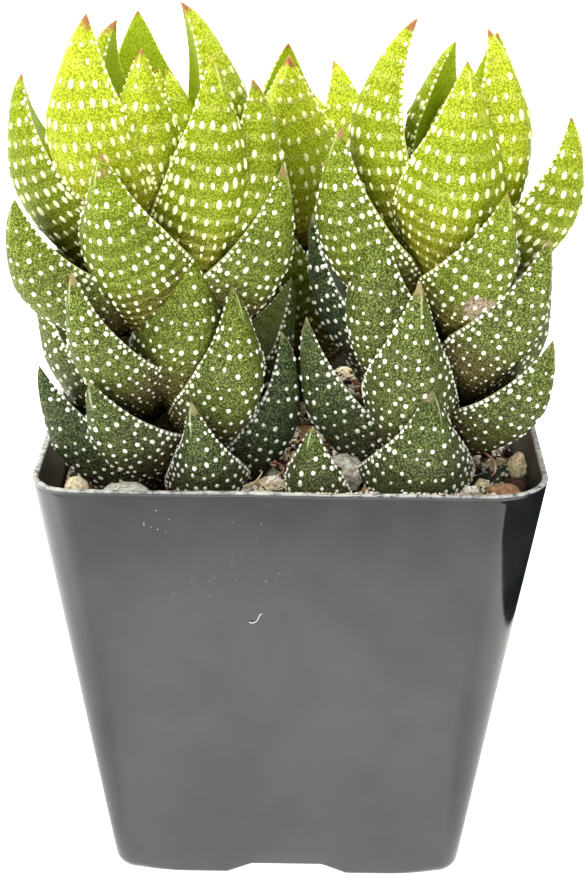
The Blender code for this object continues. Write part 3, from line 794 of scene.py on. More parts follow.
swell = add("Math", [bands, 0.5], **PRODUCT)
relief = add("Math", [swell, granule], operation="SUBTRACT")
bump = add("Bump", {"Height": relief, "Strength": 0.5, "Distance": 0.00008})
depth = add("MapRange", [fresh, 0.3, 0.95, 0.06, 0.3], **SMOOTH)
gloss = {"Roughness": 0.5, "IOR": 1.42, "Specular IOR Level": 0.12, "Normal": bump}
flesh = {"Subsurface Weight": depth, "Subsurface Radius": (1.0, 0.9, 0.12), "Subsurface Scale": 0.0015}
add("OutputMaterial", [add("BsdfPrincipled", {"Base Color": colour, **gloss, **flesh})])

# %% [markdown]
# ## Leaf blades
#
# Each blade is a closed skin: rows of points run over the domed back and return over the hollow face, and
# all rows end in one tip. The stem is a plain tapered rod, hidden among the leaves. One mesh holds a whole
# shoot.

# %% Build the blades
BACK_COLUMNS, FACE_COLUMNS, LEAF_RINGS = 26, 8, 32
BLADE_SEED = 20
SHARP_MARGIN = math.radians(60)
STEM_SIDES, STEM_FOOT, STEM_TAPER = 16, 40.0, 0.7
LEAF_VALUES = ("along", "inner", "keel", "margin", "scar", "row", "freshness", "blush")
SCARS = {  # on which leaf, where along and across it, and how large in mm
    ("rosette_right", 6): ((0.42, 0.2, 2.6), (0.36, -0.35, 1.8)),
    ("rosette_right", 7): ((0.3, 0.2, 2.2),),
    ("rosette_right", 5): ((0.18, 0.1, 2.0),),
    ("rosette_right", 9): ((0.12, -0.2, 2.4),),
    ("rosette_left", 13): ((0.2, 0.3, 1.6),),
}
BLUSHES = {
    ("rosette_left", 14): 0.75,
    ("rosette_right", 15): 0.5,
    ("rosette_left", 13): 0.3,
    ("offset_front", 0): 0.15,
}


def blade(leaf, shoot, keel, scars):
    """Points, faces and vertex values of one leaf."""
    u = np.linspace(0.0, 1.0, LEAF_RINGS + 1)[:-1]
    t = 1 - (1 - u) ** 1.15
    over = -np.cos(np.pi * np.arange(BACK_COLUMNS + 1) / BACK_COLUMNS)
    under = np.cos(np.pi * np.arange(1, FACE_COLUMNS) / FACE_COLUMNS)
    t_back, s_back = np.meshgrid(t, over, indexing="ij")
    t_face, s_face = np.meshgrid(t, under, indexing="ij")
    back = leaf_back(leaf, shoot, t_back, s_back, keel)
    rows = np.concatenate([back, leaf_face(leaf, shoot, t_face, s_face)], axis=1)
    count = rows.shape[1]
    tip = leaf_spine(leaf, shoot, np.array([1.0]))[0]
    points = np.vstack([rows.reshape(-1, 3), tip])
    faces = ring_faces(len(t), count)
    last = (len(t) - 1) * count
    faces += [(last + j, last + (j + 1) % count, len(points) - 1) for j in range(count)]
    faces.append(tuple(reversed(range(count))))
    half = leaf_spine(leaf, shoot, t_back)[3]
    ridge = np.zeros_like(rows[..., 0])
    ridge[:, : BACK_COLUMNS + 1] = keel_height(t_back, s_back, half, keel)
    edge = np.zeros(count)
    edge[[0, BACK_COLUMNS]] = 1.0
    edge = np.outer(np.clip((t - 0.2) / 0.2, 0, 1), edge)
    inner = np.concatenate([np.zeros(BACK_COLUMNS + 1), np.ones(FACE_COLUMNS - 1)])
    dry = np.zeros(len(points))
    for at, across, size in scars:
        centre = leaf_back(leaf, shoot, np.array([at]), np.array([across]), keel)
        far = np.linalg.norm(points - centre, axis=1) / size
        ragged = np.array([0.35 * noise.noise(Vector(p) / 1.1) for p in points])
        dry = np.maximum(dry, np.clip(1.1 - 0.6 * far + ragged, 0, 1))
    values = {
        "along": np.append(np.repeat(t, count), 1.0),
        "inner": np.append(np.tile(inner, len(t)), 0.0),
        "keel": np.append(ridge.ravel(), 0.0),
        "margin": np.append(edge.ravel(), 0.0),
        "scar": dry,
    }
    return points * MM, faces, values


def stem(shoot):
    """Points and faces of the rod that carries the leaves."""
    radius, top = (2.4, 2.0) if shoot is PUP else (4.0, 5.0)
    turns = np.linspace(0, 2 * math.pi, STEM_SIDES + 1)[:-1]
    ring = [(radius * math.cos(a), radius * math.sin(a)) for a in turns]
    x, y = shoot.place
    high = shoot.height + top
    over = x + shoot.slant * high
    points = [(x + p, y + q, STEM_FOOT) for p, q in ring]
    points += [(over + STEM_TAPER * p, y + STEM_TAPER * q, MIX_LEVEL + high) for p, q in ring]
    faces = ring_faces(2, STEM_SIDES)
    faces += [tuple(reversed(range(STEM_SIDES))), tuple(range(STEM_SIDES, 2 * STEM_SIDES))]
    return np.array(points) * MM, faces


def build_blades(shoot, seed):
    """One mesh with the stem and all the leaves of a shoot, and what its pearls need to know."""
    chance = random.Random(seed)
    points, faces = stem(shoot)
    values = {name: [np.zeros(len(points))] for name in LEAF_VALUES}
    grown = []
    for index, leaf in enumerate(all_leaves(shoot)):
        keel = chance.uniform(-0.2, 0.2)
        freshness = leaf_freshness(leaf, shoot, chance)
        scars = SCARS.get((shoot.name, index), ())
        leaf_points, leaf_faces, found = blade(leaf, shoot, keel, scars)
        start = len(points)
        points = np.vstack([points, leaf_points])
        faces += [tuple(start + i for i in face) for face in leaf_faces]
        found["row"] = pearl_rows(leaf, freshness, found["along"])
        found["freshness"] = np.full(len(leaf_points), freshness)
        low = np.clip((0.6 - found["along"]) / 0.25, 0, 1)
        found["blush"] = BLUSHES.get((shoot.name, index), 0.0) * low
        for name in LEAF_VALUES:
            values[name].append(found[name])
        grown.append((leaf, keel, freshness))
    values = {name: np.concatenate(numbers) for name, numbers in values.items()}
    made = add_mesh(shoot.name + "_leaves", points, faces, leaf_skin, values)
    turn_outwards(made)
    made.data.set_sharp_from_angle(angle=SHARP_MARGIN)
    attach(made, "root")
    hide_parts(shoot.name)
    return made, grown


shoots = []
plant_points, plant_faces = [], []
for seed, shoot in enumerate((LEFT, RIGHT, BACK, PUP)):
    blades, grown = build_blades(shoot, BLADE_SEED + seed)
    shoots.append((shoot, grown))
    start = len(plant_points)
    plant_points += [v.co.copy() for v in blades.data.vertices]
    plant_faces += [[start + i for i in p.vertices] for p in blades.data.polygons]
    print(blades.name, len(blades.data.polygons), "faces")
plant = BVHTree.FromPolygons(plant_points, plant_faces)

# %% [markdown]
# ## Pearls
#
# The white pearls are small raised bumps, 0.3 to 1 mm wide, on the leaf's back and along its edges. They
# stand in rows across the leaf and in lines along it, small and close at the base and larger further up. On
# the young leaves many are drawn out along the leaf. Where each one goes is worked out here: a point, the
# skin's outward direction, the leaf's direction, and a length, width and height. A pearl that another leaf
# covers is left out. Geometry Nodes then put a small dome on each point.

# %% Where the pearls go
COVERED = 0.7 * MM  # a pearl with a leaf this close in front of it can't be seen
LOOK_FROM, LOOK_TO = 0.2 * MM, 12 * MM  # how far over the skin the search for that leaf starts and ends
FIRST_ROW, LAST_ROW, CLOSE_BELOW = 0.1, 0.93, 0.45  # shares of the leaf's length


def skin_frame(leaf, shoot, t, s, keel):
    """Point, outward and lengthways directions on the back at t, s."""
    step = 0.01
    back = partial(leaf_back, leaf, shoot, keel=keel)
    up = back(np.minimum(t + step, 0.995), s) - back(t - step, s)
    across = back(t, np.minimum(s + step, 1)) - back(t, np.maximum(s - step, -1))
    out = np.cross(up, across)
    out *= np.sign(np.sum(out * leaf_spine(leaf, shoot, t)[1], axis=-1))[:, None]
    return back(t, s), out / np.linalg.norm(out, axis=-1)[:, None], up / np.linalg.norm(up, axis=-1)[:, None]


def row_pearls(leaf, shoot, freshness, chance):
    """Place along, place across, width and length over width of the pearls in their rows."""
    shares = np.linspace(0, 1, 201)
    numbers = pearl_rows(leaf, freshness, shares)
    half, depth = leaf_spine(leaf, shoot, shares)[3:5]
    arc = math.pi * np.sqrt((half**2 + depth**2) / 2)
    drawn = float(np.clip((freshness - 0.5) / 0.3, 0, 1))
    unruly = 1 - 0.35 * drawn
    most = round(float(arc.max()) / 1.2)
    found = []
    for number in range(1, int(numbers[-1]) + 1):
        t = float(np.interp(number, numbers, shares))
        if not FIRST_ROW < t < LAST_ROW:
            continue
        count = most if t < CLOSE_BELOW else max(2, min(most, round(float(np.interp(t, shares, arc)) / 1.3)))
        size = np.interp(t, [0.1, 0.25, 0.45, 0.75, 0.95], [0.26, 0.42, 0.62, 0.62, 0.42])
        dash = drawn * np.interp(t, [0.1, 0.3, 0.6, 0.85], [0.3, 1.0, 0.9, 0.2])
        missing = 0.05 if t < CLOSE_BELOW else 0.1 + 0.3 * (t > 0.75)
        phase = chance.uniform(0, 2 * math.pi)
        for j in range(count):
            if chance.random() < missing:
                continue
            angle = math.pi * (j + 0.5 + chance.uniform(-0.16, 0.16) * unruly) / count
            stretch = 1 + 0.2 * chance.random() + dash * chance.uniform(0.7, 1.2)
            if t > 0.3 and chance.random() < 0.12:
                stretch += chance.uniform(0.2, 0.5)
            wide = size * chance.uniform(0.72, 1.3) * (1 - 0.08 * dash) * (0.88 + 0.12 * drawn)
            sway = 0.22 * math.sin(2 * angle + phase) + 0.26 * unruly * chance.uniform(-1, 1)
            found.append((t + sway / leaf.length, -0.98 * math.cos(angle), wide, stretch))
    return found


def edge_pearls(leaf, chance):
    """Beads along both edges."""
    found = []
    for s in (-0.995, 0.995):
        t = 0.18
        while t < 0.94:
            size = np.interp(t, [0.2, 0.4, 0.8, 0.95], [0.3, 0.46, 0.44, 0.3])
            found.append((t, s, size * chance.uniform(0.8, 1.25), 1 + 0.6 * chance.random()))
            t += chance.uniform(0.65, 1.0) / leaf.length
    return found


def in_sight(point, outward):
    """Whether a pearl is neither inside another leaf nor right behind one."""
    outward = Vector(outward)
    _, normal, _, away = plant.ray_cast(Vector(point) + outward * LOOK_FROM, outward, LOOK_TO)
    return normal is None or (away > COVERED and normal.dot(outward) < 0)


# %% [markdown]
# The tree below takes the points and one dome. It turns each dome so that it stands on the skin and lies
# along the leaf, gives it its own size, and ends in Realize Instances and Set Material, so the pearls are
# real mesh.


# %% The pearl tree
def new_group(name, **sockets):
    """A geometry node group with these inputs and a mesh as output, what adds its nodes, and its inputs."""
    group = bpy.data.node_groups.new(name, "GeometryNodeTree")
    for title, kind in sockets.items():
        group.interface.new_socket(name=title, in_out="INPUT", socket_type="NodeSocket" + kind)
    group.interface.new_socket(name="Mesh", in_out="OUTPUT", socket_type="NodeSocketGeometry")
    add = partial(add_node, group)
    return group, add, add("NodeGroupInput").outputs


def end_group(add, instances, finish, smooth=True):
    """End a group: make its instances real mesh, give them their material and put them out."""
    real = add("RealizeInstances", [instances])
    if smooth:
        real = add("SetShadeSmooth", [real])
    add("NodeGroupOutput", [add("SetMaterial", {"Geometry": real, "Material": finish})])


def run_tree(target, group, **inputs):
    """Run a node group on an object and keep the result as a plain mesh."""
    modifier = target.modifiers.new(group.name, "NODES")
    modifier.node_group = group
    for item in group.interface.items_tree:
        if item.name in inputs:
            modifier[item.identifier] = inputs[item.name]
    mesh = bpy.data.meshes.new_from_object(target.evaluated_get(bpy.context.evaluated_depsgraph_get()))
    target.modifiers.clear()
    target.data = mesh


pearl_tree, add, given = new_group("pearls on a leaf", Points="Geometry", Dome="Object", Finish="Material")
outward, lengthways, size = (
    add("InputNamedAttribute", {"Name": name}, data_type="FLOAT_VECTOR")
    for name in ("outward", "lengthways", "size")
)
axes = {"Primary Axis": outward, "Secondary Axis": lengthways}
turned = add("FunctionNodeAxesToRotation", axes, primary_axis="Z", secondary_axis="X")
dome = add("ObjectInfo", {"Object": given["Dome"]}).outputs["Geometry"]
spots = add("MeshToPoints", [given["Points"]])
placed = {"Points": spots, "Instance": dome, "Rotation": turned, "Scale": size}
end_group(add, add("InstanceOnPoints", placed), given["Finish"])

# %% [markdown]
# ## Pearl material
#
# A pearl is the same skin, thick, white and a little waxy. On the yellow leaves it is cream, on the dark
# ones it is nearly pure white, and at a leaf's brown base it is tan.

# %% Pearl material
pearl_white, add = new_material("haworthia pearl")
place = add("TexCoord").outputs["Object"]
along, fresh = (add("Attribute", attribute_name=name).outputs["Fac"] for name in ("along", "freshness"))
cream = add("ValToRGB", [fresh], {0.0: "#eef1ea", 0.5: "#f3f5e0", 0.8: "#f6f6c8", 1.0: "#f8f8b4"})
tan = add("ValToRGB", [fresh], {0.0: "#a89a84", 0.6: "#baa878", 1.0: "#c4ae4c"})
share = add("MapRange", [along, 0.14, 0.34], **SMOOTH)
colour = add("Mix", {0: share, 6: tan, 7: cream}, **COLOURS)
chalk = add("TexNoise", {"Vector": place, "Scale": 2500.0, "Detail": 1.0})
chalk = add("MapRange", [chalk, 0.6, 0.35], **SMOOTH)
colour = add("Mix", {0: chalk, 6: colour, 7: "#e8e8dc"}, **TINTED)
flesh = {"Subsurface Weight": 0.1, "Subsurface Radius": (1.0, 1.0, 0.6), "Subsurface Scale": 0.0004}
wax = {"Base Color": colour, "Roughness": 0.35, "IOR": 1.45}
add("OutputMaterial", [add("BsdfPrincipled", {**wax, **flesh})])

# %% Grow the pearls
DOME_RINGS = ((0.5, -0.3), (0.42, 0.26))  # radius and height of the sunk foot and of the shoulder
DOME_TOP = 0.5
DOME_SIDES = 8
DOME_TRIANGLES = 4 * DOME_SIDES - 2
PEARL_HEIGHT = 0.7  # of its width
PEARL_SEED = 70

spokes = [2 * math.pi * j / DOME_SIDES for j in range(DOME_SIDES)]
dome_points = [(r * math.cos(a), r * math.sin(a), z) for r, z in DOME_RINGS for a in spokes]
dome_points.append((0.0, 0.0, DOME_TOP))
dome_faces = ring_faces(2, DOME_SIDES)
dome_faces += [(d, c, 2 * DOME_SIDES) for a, b, c, d in dome_faces]
dome_faces.append(tuple(reversed(range(DOME_SIDES))))
dome_object = add_mesh("pearl_dome", dome_points, dome_faces, pearl_white)
for seed, (shoot, grown) in enumerate(shoots):
    chance = random.Random(PEARL_SEED + seed)
    for side in ("front", "rear"):
        columns = {name: [] for name in ("place", "outward", "lengthways", "size", "along", "freshness")}
        for leaf, keel, freshness in grown:
            if (math.cos(math.radians(leaf.azimuth)) > 0.2) != (side == "front"):
                continue
            found = row_pearls(leaf, shoot, freshness, chance) + edge_pearls(leaf, chance)
            t, s, wide, stretch = (np.array(column) for column in zip(*found))
            here, out, way = skin_frame(leaf, shoot, t, s, keel)
            seen = np.array([in_sight(p * MM, n) for p, n in zip(here, out)])
            sizes = np.stack([wide * stretch, wide, PEARL_HEIGHT * wide], axis=-1)
            new = (here, out, way, sizes * MM, t, np.full(len(t), freshness))
            for name, numbers in zip(columns, new):
                columns[name].append(numbers[seen])
        if not columns["along"]:
            continue
        values = {name: np.concatenate(numbers) for name, numbers in columns.items()}
        places = values.pop("place") * MM
        pearls = add_mesh(f"{shoot.name}_pearls_{side}", places, [], pearl_white, values)
        run_tree(pearls, pearl_tree, Dome=dome_object, Finish=pearl_white)
        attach(pearls, "root")
        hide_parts(shoot.name)
        print(pearls.name, len(places), "pearls,", DOME_TRIANGLES * len(places), "triangles")
bpy.data.objects.remove(dome_object)

# %% [markdown]
# ## Potting mix
#
# The mix is mostly pumice and bark with a little peat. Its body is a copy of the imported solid, so the holes
# for the stems and the hollows under the leaves are kept. Its top is cut finer, roughened into crumbs, and
# heaped against the front wall, where watering has washed the fine grit together.

# %% Mix material
mix_earth, add = new_material("pumice, bark and peat mix")
place = add("TexCoord").outputs["Object"]
crumbs = add("TexVoronoi", {"Vector": place, "Scale": 900.0}).outputs["Color"]
patches = add("TexNoise", {"Vector": place, "Scale": 700.0, "Detail": 4.0, "Roughness": 0.7})
CRUMBS = {0.0: "#1c130e", 0.35: "#33251b", 0.6: "#5c4737", 0.8: "#8f7d66", 1.0: "#cfc3a8"}
colour = add("ValToRGB", [add("SeparateColor", [crumbs])], CRUMBS)
damp = add("MapRange", [patches, 0.4, 0.65], **SMOOTH)
colour = add("Mix", {0: damp, 6: colour, 7: "#38281e"}, **TINTED)
bump = add("Bump", {"Height": patches, "Strength": 0.7, "Distance": 0.0003})
add("OutputMaterial", [add("BsdfPrincipled", {"Base Color": colour, "Roughness": 0.95, "Normal": bump})])

# %% Heap and roughen the top of the mix
HEAPS = (  # place, size along x and y, and height, in mm
    (-20.0, -26.5, 6.0, 4.0, 3.4),
    (-27.0, -24.5, 3.5, 4.5, 3.0),
    (-3.5, -24.5, 4.5, 4.5, 4.2),
    (9.5, -24.5, 4.0, 4.5, 4.2),
    (6.5, -16.5, 3.5, 3.0, 2.4),
    (17.0, -28.5, 8.0, 2.6, 4.4),
    (24.0, -22.5, 4.5, 5.0, 4.2),
    (28.0, -19.0, 3.0, 5.0, 3.2),
)


HOLE_FLOORS, ROUGH_FROM = 44, 50  # mm: the stems' holes end below the first
CUTS = 3


def heap(x, y):
    """How far the mix is heaped at a place in mm."""
    return max(
        high * math.exp(-(((x - cx) / rx) ** 2) - ((y - cy) / ry) ** 2) for cx, cy, rx, ry, high in HEAPS
    )


def inner_half(z):
    """Half the width inside the pot at a height in mm."""
    return outer_width(z) / 2 - WALL


def upper_faces(bed):
    """The faces of the mix that look up, without the floors of the stems' holes."""
    return [f for f in bed.faces if f.normal.z > 0.3 and f.calc_center_median().z > HOLE_FLOORS * MM]


bed = bmesh.new()
bed.from_mesh(frame["nodes"]["potting_mix"].data)
bmesh.ops.remove_doubles(bed, verts=bed.verts, dist=1e-6)
edges = {e for f in upper_faces(bed) for e in f.edges}
bmesh.ops.subdivide_edges(bed, edges=list(edges), cuts=CUTS, use_grid_fill=True)
bmesh.ops.triangulate(bed, faces=bed.faces)
bed.normal_update()
top = upper_faces(bed)
for vertex in {v for f in top for v in f.verts}:
    p = vertex.co / MM
    if p.z < ROUGH_FROM:
        continue
    vertex.co.z += heap(p.x, p.y) * MM
    if max(abs(p.x), abs(p.y)) < inner_half(MIX_LEVEL) - 0.6:
        vertex.co.z += (0.3 * noise.noise(p / 1.1) + 0.2 * noise.noise(p / 0.5)) * MM
print("mix:", len(bed.faces), "faces,", len(top), "of them on top")
potting_mix = bpy.data.objects.new("gritty_mix", bpy.data.meshes.new("gritty_mix"))
bed.to_mesh(potting_mix.data)
potting_mix.data.materials.append(mix_earth)
scene.collection.objects.link(potting_mix)
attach(potting_mix, "root")
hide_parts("potting_mix")

# %% [markdown]
# ## Grit
#
# Loose grit covers the mix: cream pumice, pinkish brown bark and dark crumbs, 0.4 to 2.4 mm across.
# Geometry Nodes scatter rough stones over the top of the mix, never two in one place. Grains only go where
# no leaf is close above, which a ray straight up from each point of the surface finds out. On the heaps the
# grit is finer and paler.

# %% Where the grains may lie
LEAF_GAP, GAP_FADE, WALL_GAP, PALE_HEAP = 0.8, 1.5, 1.3, 3.0  # mm
kept = {v for f in top for v in f.verts}
order = {v: i for i, v in enumerate(kept)}
bed_points = [v.co.copy() for v in kept]
bed_faces = [[order[v] for v in f.verts] for f in top]
bed.free()
room, pale = [], []
for p in bed_points:
    hit = plant.ray_cast(p, Vector((0, 0, 1)))[0]
    clear = 1.0 if hit is None else min(max((hit.z - p.z) / MM - LEAF_GAP, 0.0) / GAP_FADE, 1.0)
    beside_wall = max(abs(p.x), abs(p.y)) / MM > inner_half(p.z / MM) - WALL_GAP
    room.append(0.0 if beside_wall else clear)
    pale.append(min(heap(p.x / MM, p.y / MM) / PALE_HEAP, 1.0))
print("open share of the bed:", round(sum(room) / len(room), 2))

# %% Grit material
grit_finish, add = new_material("pumice, bark and peat grit")
place = add("TexCoord").outputs["Object"]
kind, paleness = (add("Attribute", attribute_name=name).outputs["Fac"] for name in ("kind", "pale"))
paler = add("MapRange", [paleness, 0.2, 1.0, 1.0, 0.6], **SMOOTH)
kind = add("Math", [kind, paler], **PRODUCT)
pores = add("TexNoise", {"Vector": place, "Scale": 2200.0, "Detail": 3.0, "Roughness": 0.7})
PALE_SHADES = {0.0: "#fffbee", 0.22: "#f4eac6", 0.38: "#e4d4ae"}
DARK_SHADES = {0.50: "#b8906e", 0.62: "#94684e", 0.74: "#4e372a", 0.86: "#241a14"}
colour = add("ValToRGB", [kind], PALE_SHADES | DARK_SHADES)
colour.color_ramp.interpolation = "CONSTANT"
in_pores = add("MapRange", [pores, 0.6, 0.38], **SMOOTH)
colour = add("Mix", {0: in_pores, 6: colour, 7: "#c4baaa"}, **TINTED)
bump = add("Bump", {"Height": pores, "Strength": 0.6, "Distance": 0.0001})
dull = {"Roughness": 0.92, "Specular IOR Level": 0.3}
add("OutputMaterial", [add("BsdfPrincipled", {"Base Color": colour, "Normal": bump, **dull})])


# %% Rough stones
def rough_stone(name, seed, detail=1, roughness=0.2, size=(1.15, 1.0, 0.78)):
    """A stone of about 1 m from a ball whose points are pushed in and out."""
    ball = bmesh.new()
    bmesh.ops.create_icosphere(ball, subdivisions=detail, radius=0.5)
    shift = Vector((seed * 3.1, seed * 1.7, seed * 0.9))
    for v in ball.verts:
        direction = v.co.normalized()
        push = noise.noise(direction * 1.6 + shift) + 0.6 * noise.noise(direction * 3.7 + shift)
        v.co = v.co * (1 + 2 * roughness * push) * Vector(size)
    stone = bpy.data.objects.new(name, bpy.data.meshes.new(name))
    ball.to_mesh(stone.data)
    ball.free()
    return stone


stones = bpy.data.collections.new("stones")
scene.collection.children.link(stones)
for i in range(5):
    stones.objects.link(rough_stone(f"stone_{i}", i + 1, detail=1 if i < 4 else 2, roughness=0.22))

# %% The grit tree
NUMBERS = {"Gap": "Float", "Density": "Float", "Smallest": "Float", "Largest": "Float", "Seed": "Int"}
FULL_TURN = (6.28, 6.28, 6.28)
KIND_SEED = 7

grit_tree, add, given = new_group(
    "grit on a bed", Bed="Geometry", Stones="Collection", **NUMBERS, Finish="Material"
)
room_here = add("InputNamedAttribute", {"Name": "room"}, data_type="FLOAT")
spread = {
    "Mesh": given["Bed"],
    "Distance Min": given["Gap"],
    "Density Max": given["Density"],
    "Density Factor": room_here,
    "Seed": given["Seed"],
}
scattered = add("DistributePointsOnFaces", spread, distribute_method="POISSON")
picked = add("CollectionInfo", {"Collection": given["Stones"], "Separate Children": True})
turn = add("FunctionNodeRandomValue", {"Max": FULL_TURN, "Seed": given["Seed"]}, data_type="FLOAT_VECTOR")
limits = {2: given["Smallest"], 3: given["Largest"], "Seed": given["Seed"]}
amount = add("FunctionNodeRandomValue", limits, data_type="FLOAT")
stone_kind = add("FunctionNodeRandomValue", {2: 0.0, 3: 1.0, "Seed": KIND_SEED}, data_type="FLOAT")
laid = {"Points": scattered, "Instance": picked, "Pick Instance": True, "Rotation": turn, "Scale": amount}
laid = add("InstanceOnPoints", laid)
kept_kind = {"Geometry": laid, "Name": "kind", "Value": stone_kind}
stored = add("StoreNamedAttribute", kept_kind, data_type="FLOAT", domain="INSTANCE")
end_group(add, stored, given["Finish"], smooth=False)


def strew(name, points, faces, values, smallest, largest, gap, density, seed):
    """Grit of these sizes, in mm, over a bed that it then takes the place of."""
    grit = add_mesh(name, points, faces, grit_finish, values, smooth=False)
    sizes = {"Smallest": smallest * MM, "Largest": largest * MM, "Gap": gap * MM, "Density": density}
    run_tree(grit, grit_tree, Stones=stones, Seed=seed, Finish=grit_finish, **sizes)
    return grit


# %% Scatter the grit
for name, smallest, largest, gap, density, seed in (
    ("fine_grit", 0.45, 0.95, 0.55, 2.6e6, 3),
    ("coarse_grit", 1.0, 2.1, 1.3, 4.5e5, 8),
):
    mask = np.array(room) * (1 - 0.75 * np.array(pale) if name == "coarse_grit" else 1)
    values = {"room": mask, "pale": np.array(pale)}
    grit = strew(name, bed_points, bed_faces, values, smallest, largest, gap, density, seed)
    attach(grit, "root")
    print(name, len(grit.data.polygons), "faces, paleness kept:", "pale" in grit.data.attributes)

# %% [markdown]
# White crumbs of the same grit stick where they were spilled at potting: on the rim's inner edge at the
# front right, and on the foot of the offset. The same tree scatters them over narrow strips.

# %% Spilled crumbs
CRUMB_STRIPS = (  # left and right ends, front and back edges with their heights, and the crumbs' sizes, in mm
    ("rim_crumbs", (13.6, 21.6), ((-31.0, 60.1), (-30.0, 59.7)), (0.15, 0.45)),
    ("offset_crumbs", (-0.6, 9.6), ((-29.8, 59.4), (-27.6, 58.3)), (0.2, 0.55)),
)
CRUMB_GAP, CRUMB_DENSITY, CRUMB_SEED = 0.25, 6e6, 5
for name, (left, right), (front_edge, back_edge), (smallest, largest) in CRUMB_STRIPS:
    corners = [(left, *front_edge), (right, *front_edge), (right, *back_edge), (left, *back_edge)]
    values = {"room": np.ones(4), "pale": np.ones(4)}
    strip = (np.array(corners) * MM, [(0, 1, 2, 3)])
    crumbs = strew(name, *strip, values, smallest, largest, CRUMB_GAP, CRUMB_DENSITY, CRUMB_SEED)
    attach(crumbs, "root")
    print(name, len(crumbs.data.polygons), "faces")
for stone in list(stones.objects):
    bpy.data.objects.remove(stone)
bpy.data.collections.remove(stones)

# %% [markdown]
# ## Single stones
#
# Some stones are large enough to know one by one: smooth beige gravel at the left front, a white bit and a
# large cream lump of pumice beside the offset, pink bark and a grey stone at the right. They lie on the
# heaps.

# %% Lay the single stones
LARGE_STONES = (  # place and size in mm, kind from 0, cream, to 1, black, and roughness
    ((-20.3, -25.6, 57.0), (6.2, 4.6, 3.0), 0.05, 0.05),
    ((-26.6, -24.0, 56.7), (3.2, 3.0, 3.8), 0.25, 0.06),
    ((-24.2, -26.2, 56.4), (3.0, 2.4, 2.4), 0.4, 0.1),
    ((-2.4, -22.6, 57.6), (2.8, 2.0, 1.8), 0.02, 0.12),
    ((6.4, -19.2, 57.7), (5.0, 4.2, 4.4), 0.0, 0.16),
    ((9.3, -17.6, 57.2), (1.8, 1.6, 1.6), 0.1, 0.2),
    ((26.4, -24.0, 57.3), (4.2, 3.0, 2.2), 0.52, 0.2),
    ((24.4, -26.6, 57.6), (2.0, 1.6, 1.4), 0.36, 0.2),
    ((28.8, -15.4, 57.2), (2.4, 2.2, 3.4), 0.4, 0.1),
    ((28.2, -20.5, 56.6), (2.6, 2.6, 2.2), 0.78, 0.2),
    ((22.0, -25.0, 57.8), (2.2, 1.8, 1.6), 0.15, 0.22),
)
points, faces, kinds = [], [], []
for number, (at, size, kind, roughness) in enumerate(LARGE_STONES):
    stone = rough_stone("lump", number + 11, detail=4, roughness=roughness, size=(1, 1, 1))
    start = len(points)
    turned = Matrix.Rotation(1.3 * number, 3, "Z")
    points += [(turned @ v.co) * Vector(size) + Vector(at) for v in stone.data.vertices]
    faces += [tuple(start + i for i in p.vertices) for p in stone.data.polygons]
    kinds += [kind] * len(stone.data.vertices)
    bpy.data.objects.remove(stone)
values = {"kind": np.array(kinds), "pale": np.zeros(len(kinds))}
large_stones = add_mesh("large_stones", np.array(points) * MM, faces, grit_finish, values)
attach(large_stones, "root")
print("large stones:", len(LARGE_STONES), "with", len(faces), "faces")

# %% [markdown]
# ## Pumice chips
#
# The other pale chips are pieces of pumice, frothed glass full of pores. Each is a finer copy of its packed
# solid: cut small, rounded at the edges and eaten in by pores, and never larger than the solid it stands
# for.

# %% Pumice material
pumice, add = new_material("pumice, broken and sieved")
place = add("TexCoord").outputs["Object"]
pores = add("TexVoronoi", {"Vector": place, "Scale": 2400.0})
stain = add("TexNoise", {"Vector": place, "Scale": 600.0, "Detail": 3.0})
colour = add("ValToRGB", [stain], {0.3: "#fffbf0", 0.55: "#f4ecd4", 0.75: "#d4c4a4"})
in_pores = add("MapRange", [pores, 0.3, 0.05], **SMOOTH)
colour = add("Mix", {0: in_pores, 6: colour, 7: "#a0978a"}, **TINTED)
bump = add("Bump", {"Height": pores, "Strength": 0.8, "Distance": 0.00015})
add("OutputMaterial", [add("BsdfPrincipled", {"Base Color": colour, "Roughness": 0.9, "Normal": bump})])

# %% Carve the chips
chip_nodes = sorted(n for n in frame["nodes"] if n.startswith("pumice_chip_"))
CHIP_CUTS, CHIP_SMOOTHINGS = 4, 3
SMALL_PORES, LARGE_PORES = (0.45, 0.22), (1.2, 0.35)  # width and depth, in mm
ALL_AXES = {"use_axis_x": True, "use_axis_y": True, "use_axis_z": True}
chips = bmesh.new()
for node in chip_nodes:
    chip = bmesh.new()
    chip.from_mesh(frame["nodes"][node].data)
    bmesh.ops.remove_doubles(chip, verts=chip.verts, dist=1e-7)
    bmesh.ops.subdivide_edges(chip, edges=chip.edges, cuts=CHIP_CUTS, use_grid_fill=True)
    for i in range(CHIP_SMOOTHINGS):
        bmesh.ops.smooth_vert(chip, verts=chip.verts, factor=0.5, **ALL_AXES)
    chip.normal_update()
    for v in chip.verts:
        p = v.co / MM
        pore = sum(max(noise.noise(p / wide), 0.0) * deep for wide, deep in (SMALL_PORES, LARGE_PORES))
        v.co = v.co - v.normal * (pore * MM)
    held = bpy.data.meshes.new(node)
    chip.to_mesh(held)
    chip.free()
    chips.from_mesh(held)
    bpy.data.meshes.remove(held)
pumice_chips = bpy.data.objects.new("pumice_chips", bpy.data.meshes.new("pumice_chips"))
chips.to_mesh(pumice_chips.data)
print("chips:", len(chip_nodes), "with", len(chips.faces), "faces")
chips.free()
pumice_chips.data.materials.append(pumice)
pumice_chips.data.shade_smooth()
scene.collection.objects.link(pumice_chips)
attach(pumice_chips, "root")
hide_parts(*chip_nodes)

# %% [markdown]
# ## Rootlets, husk and a stray fibre
#
# A few dried rootlets curl out of the grit, with straw-like husk beside the offset, and one white fibre
# clings to the front of the pot. Each is a path of a few points. Geometry Nodes turn the paths into thin
# round threads.

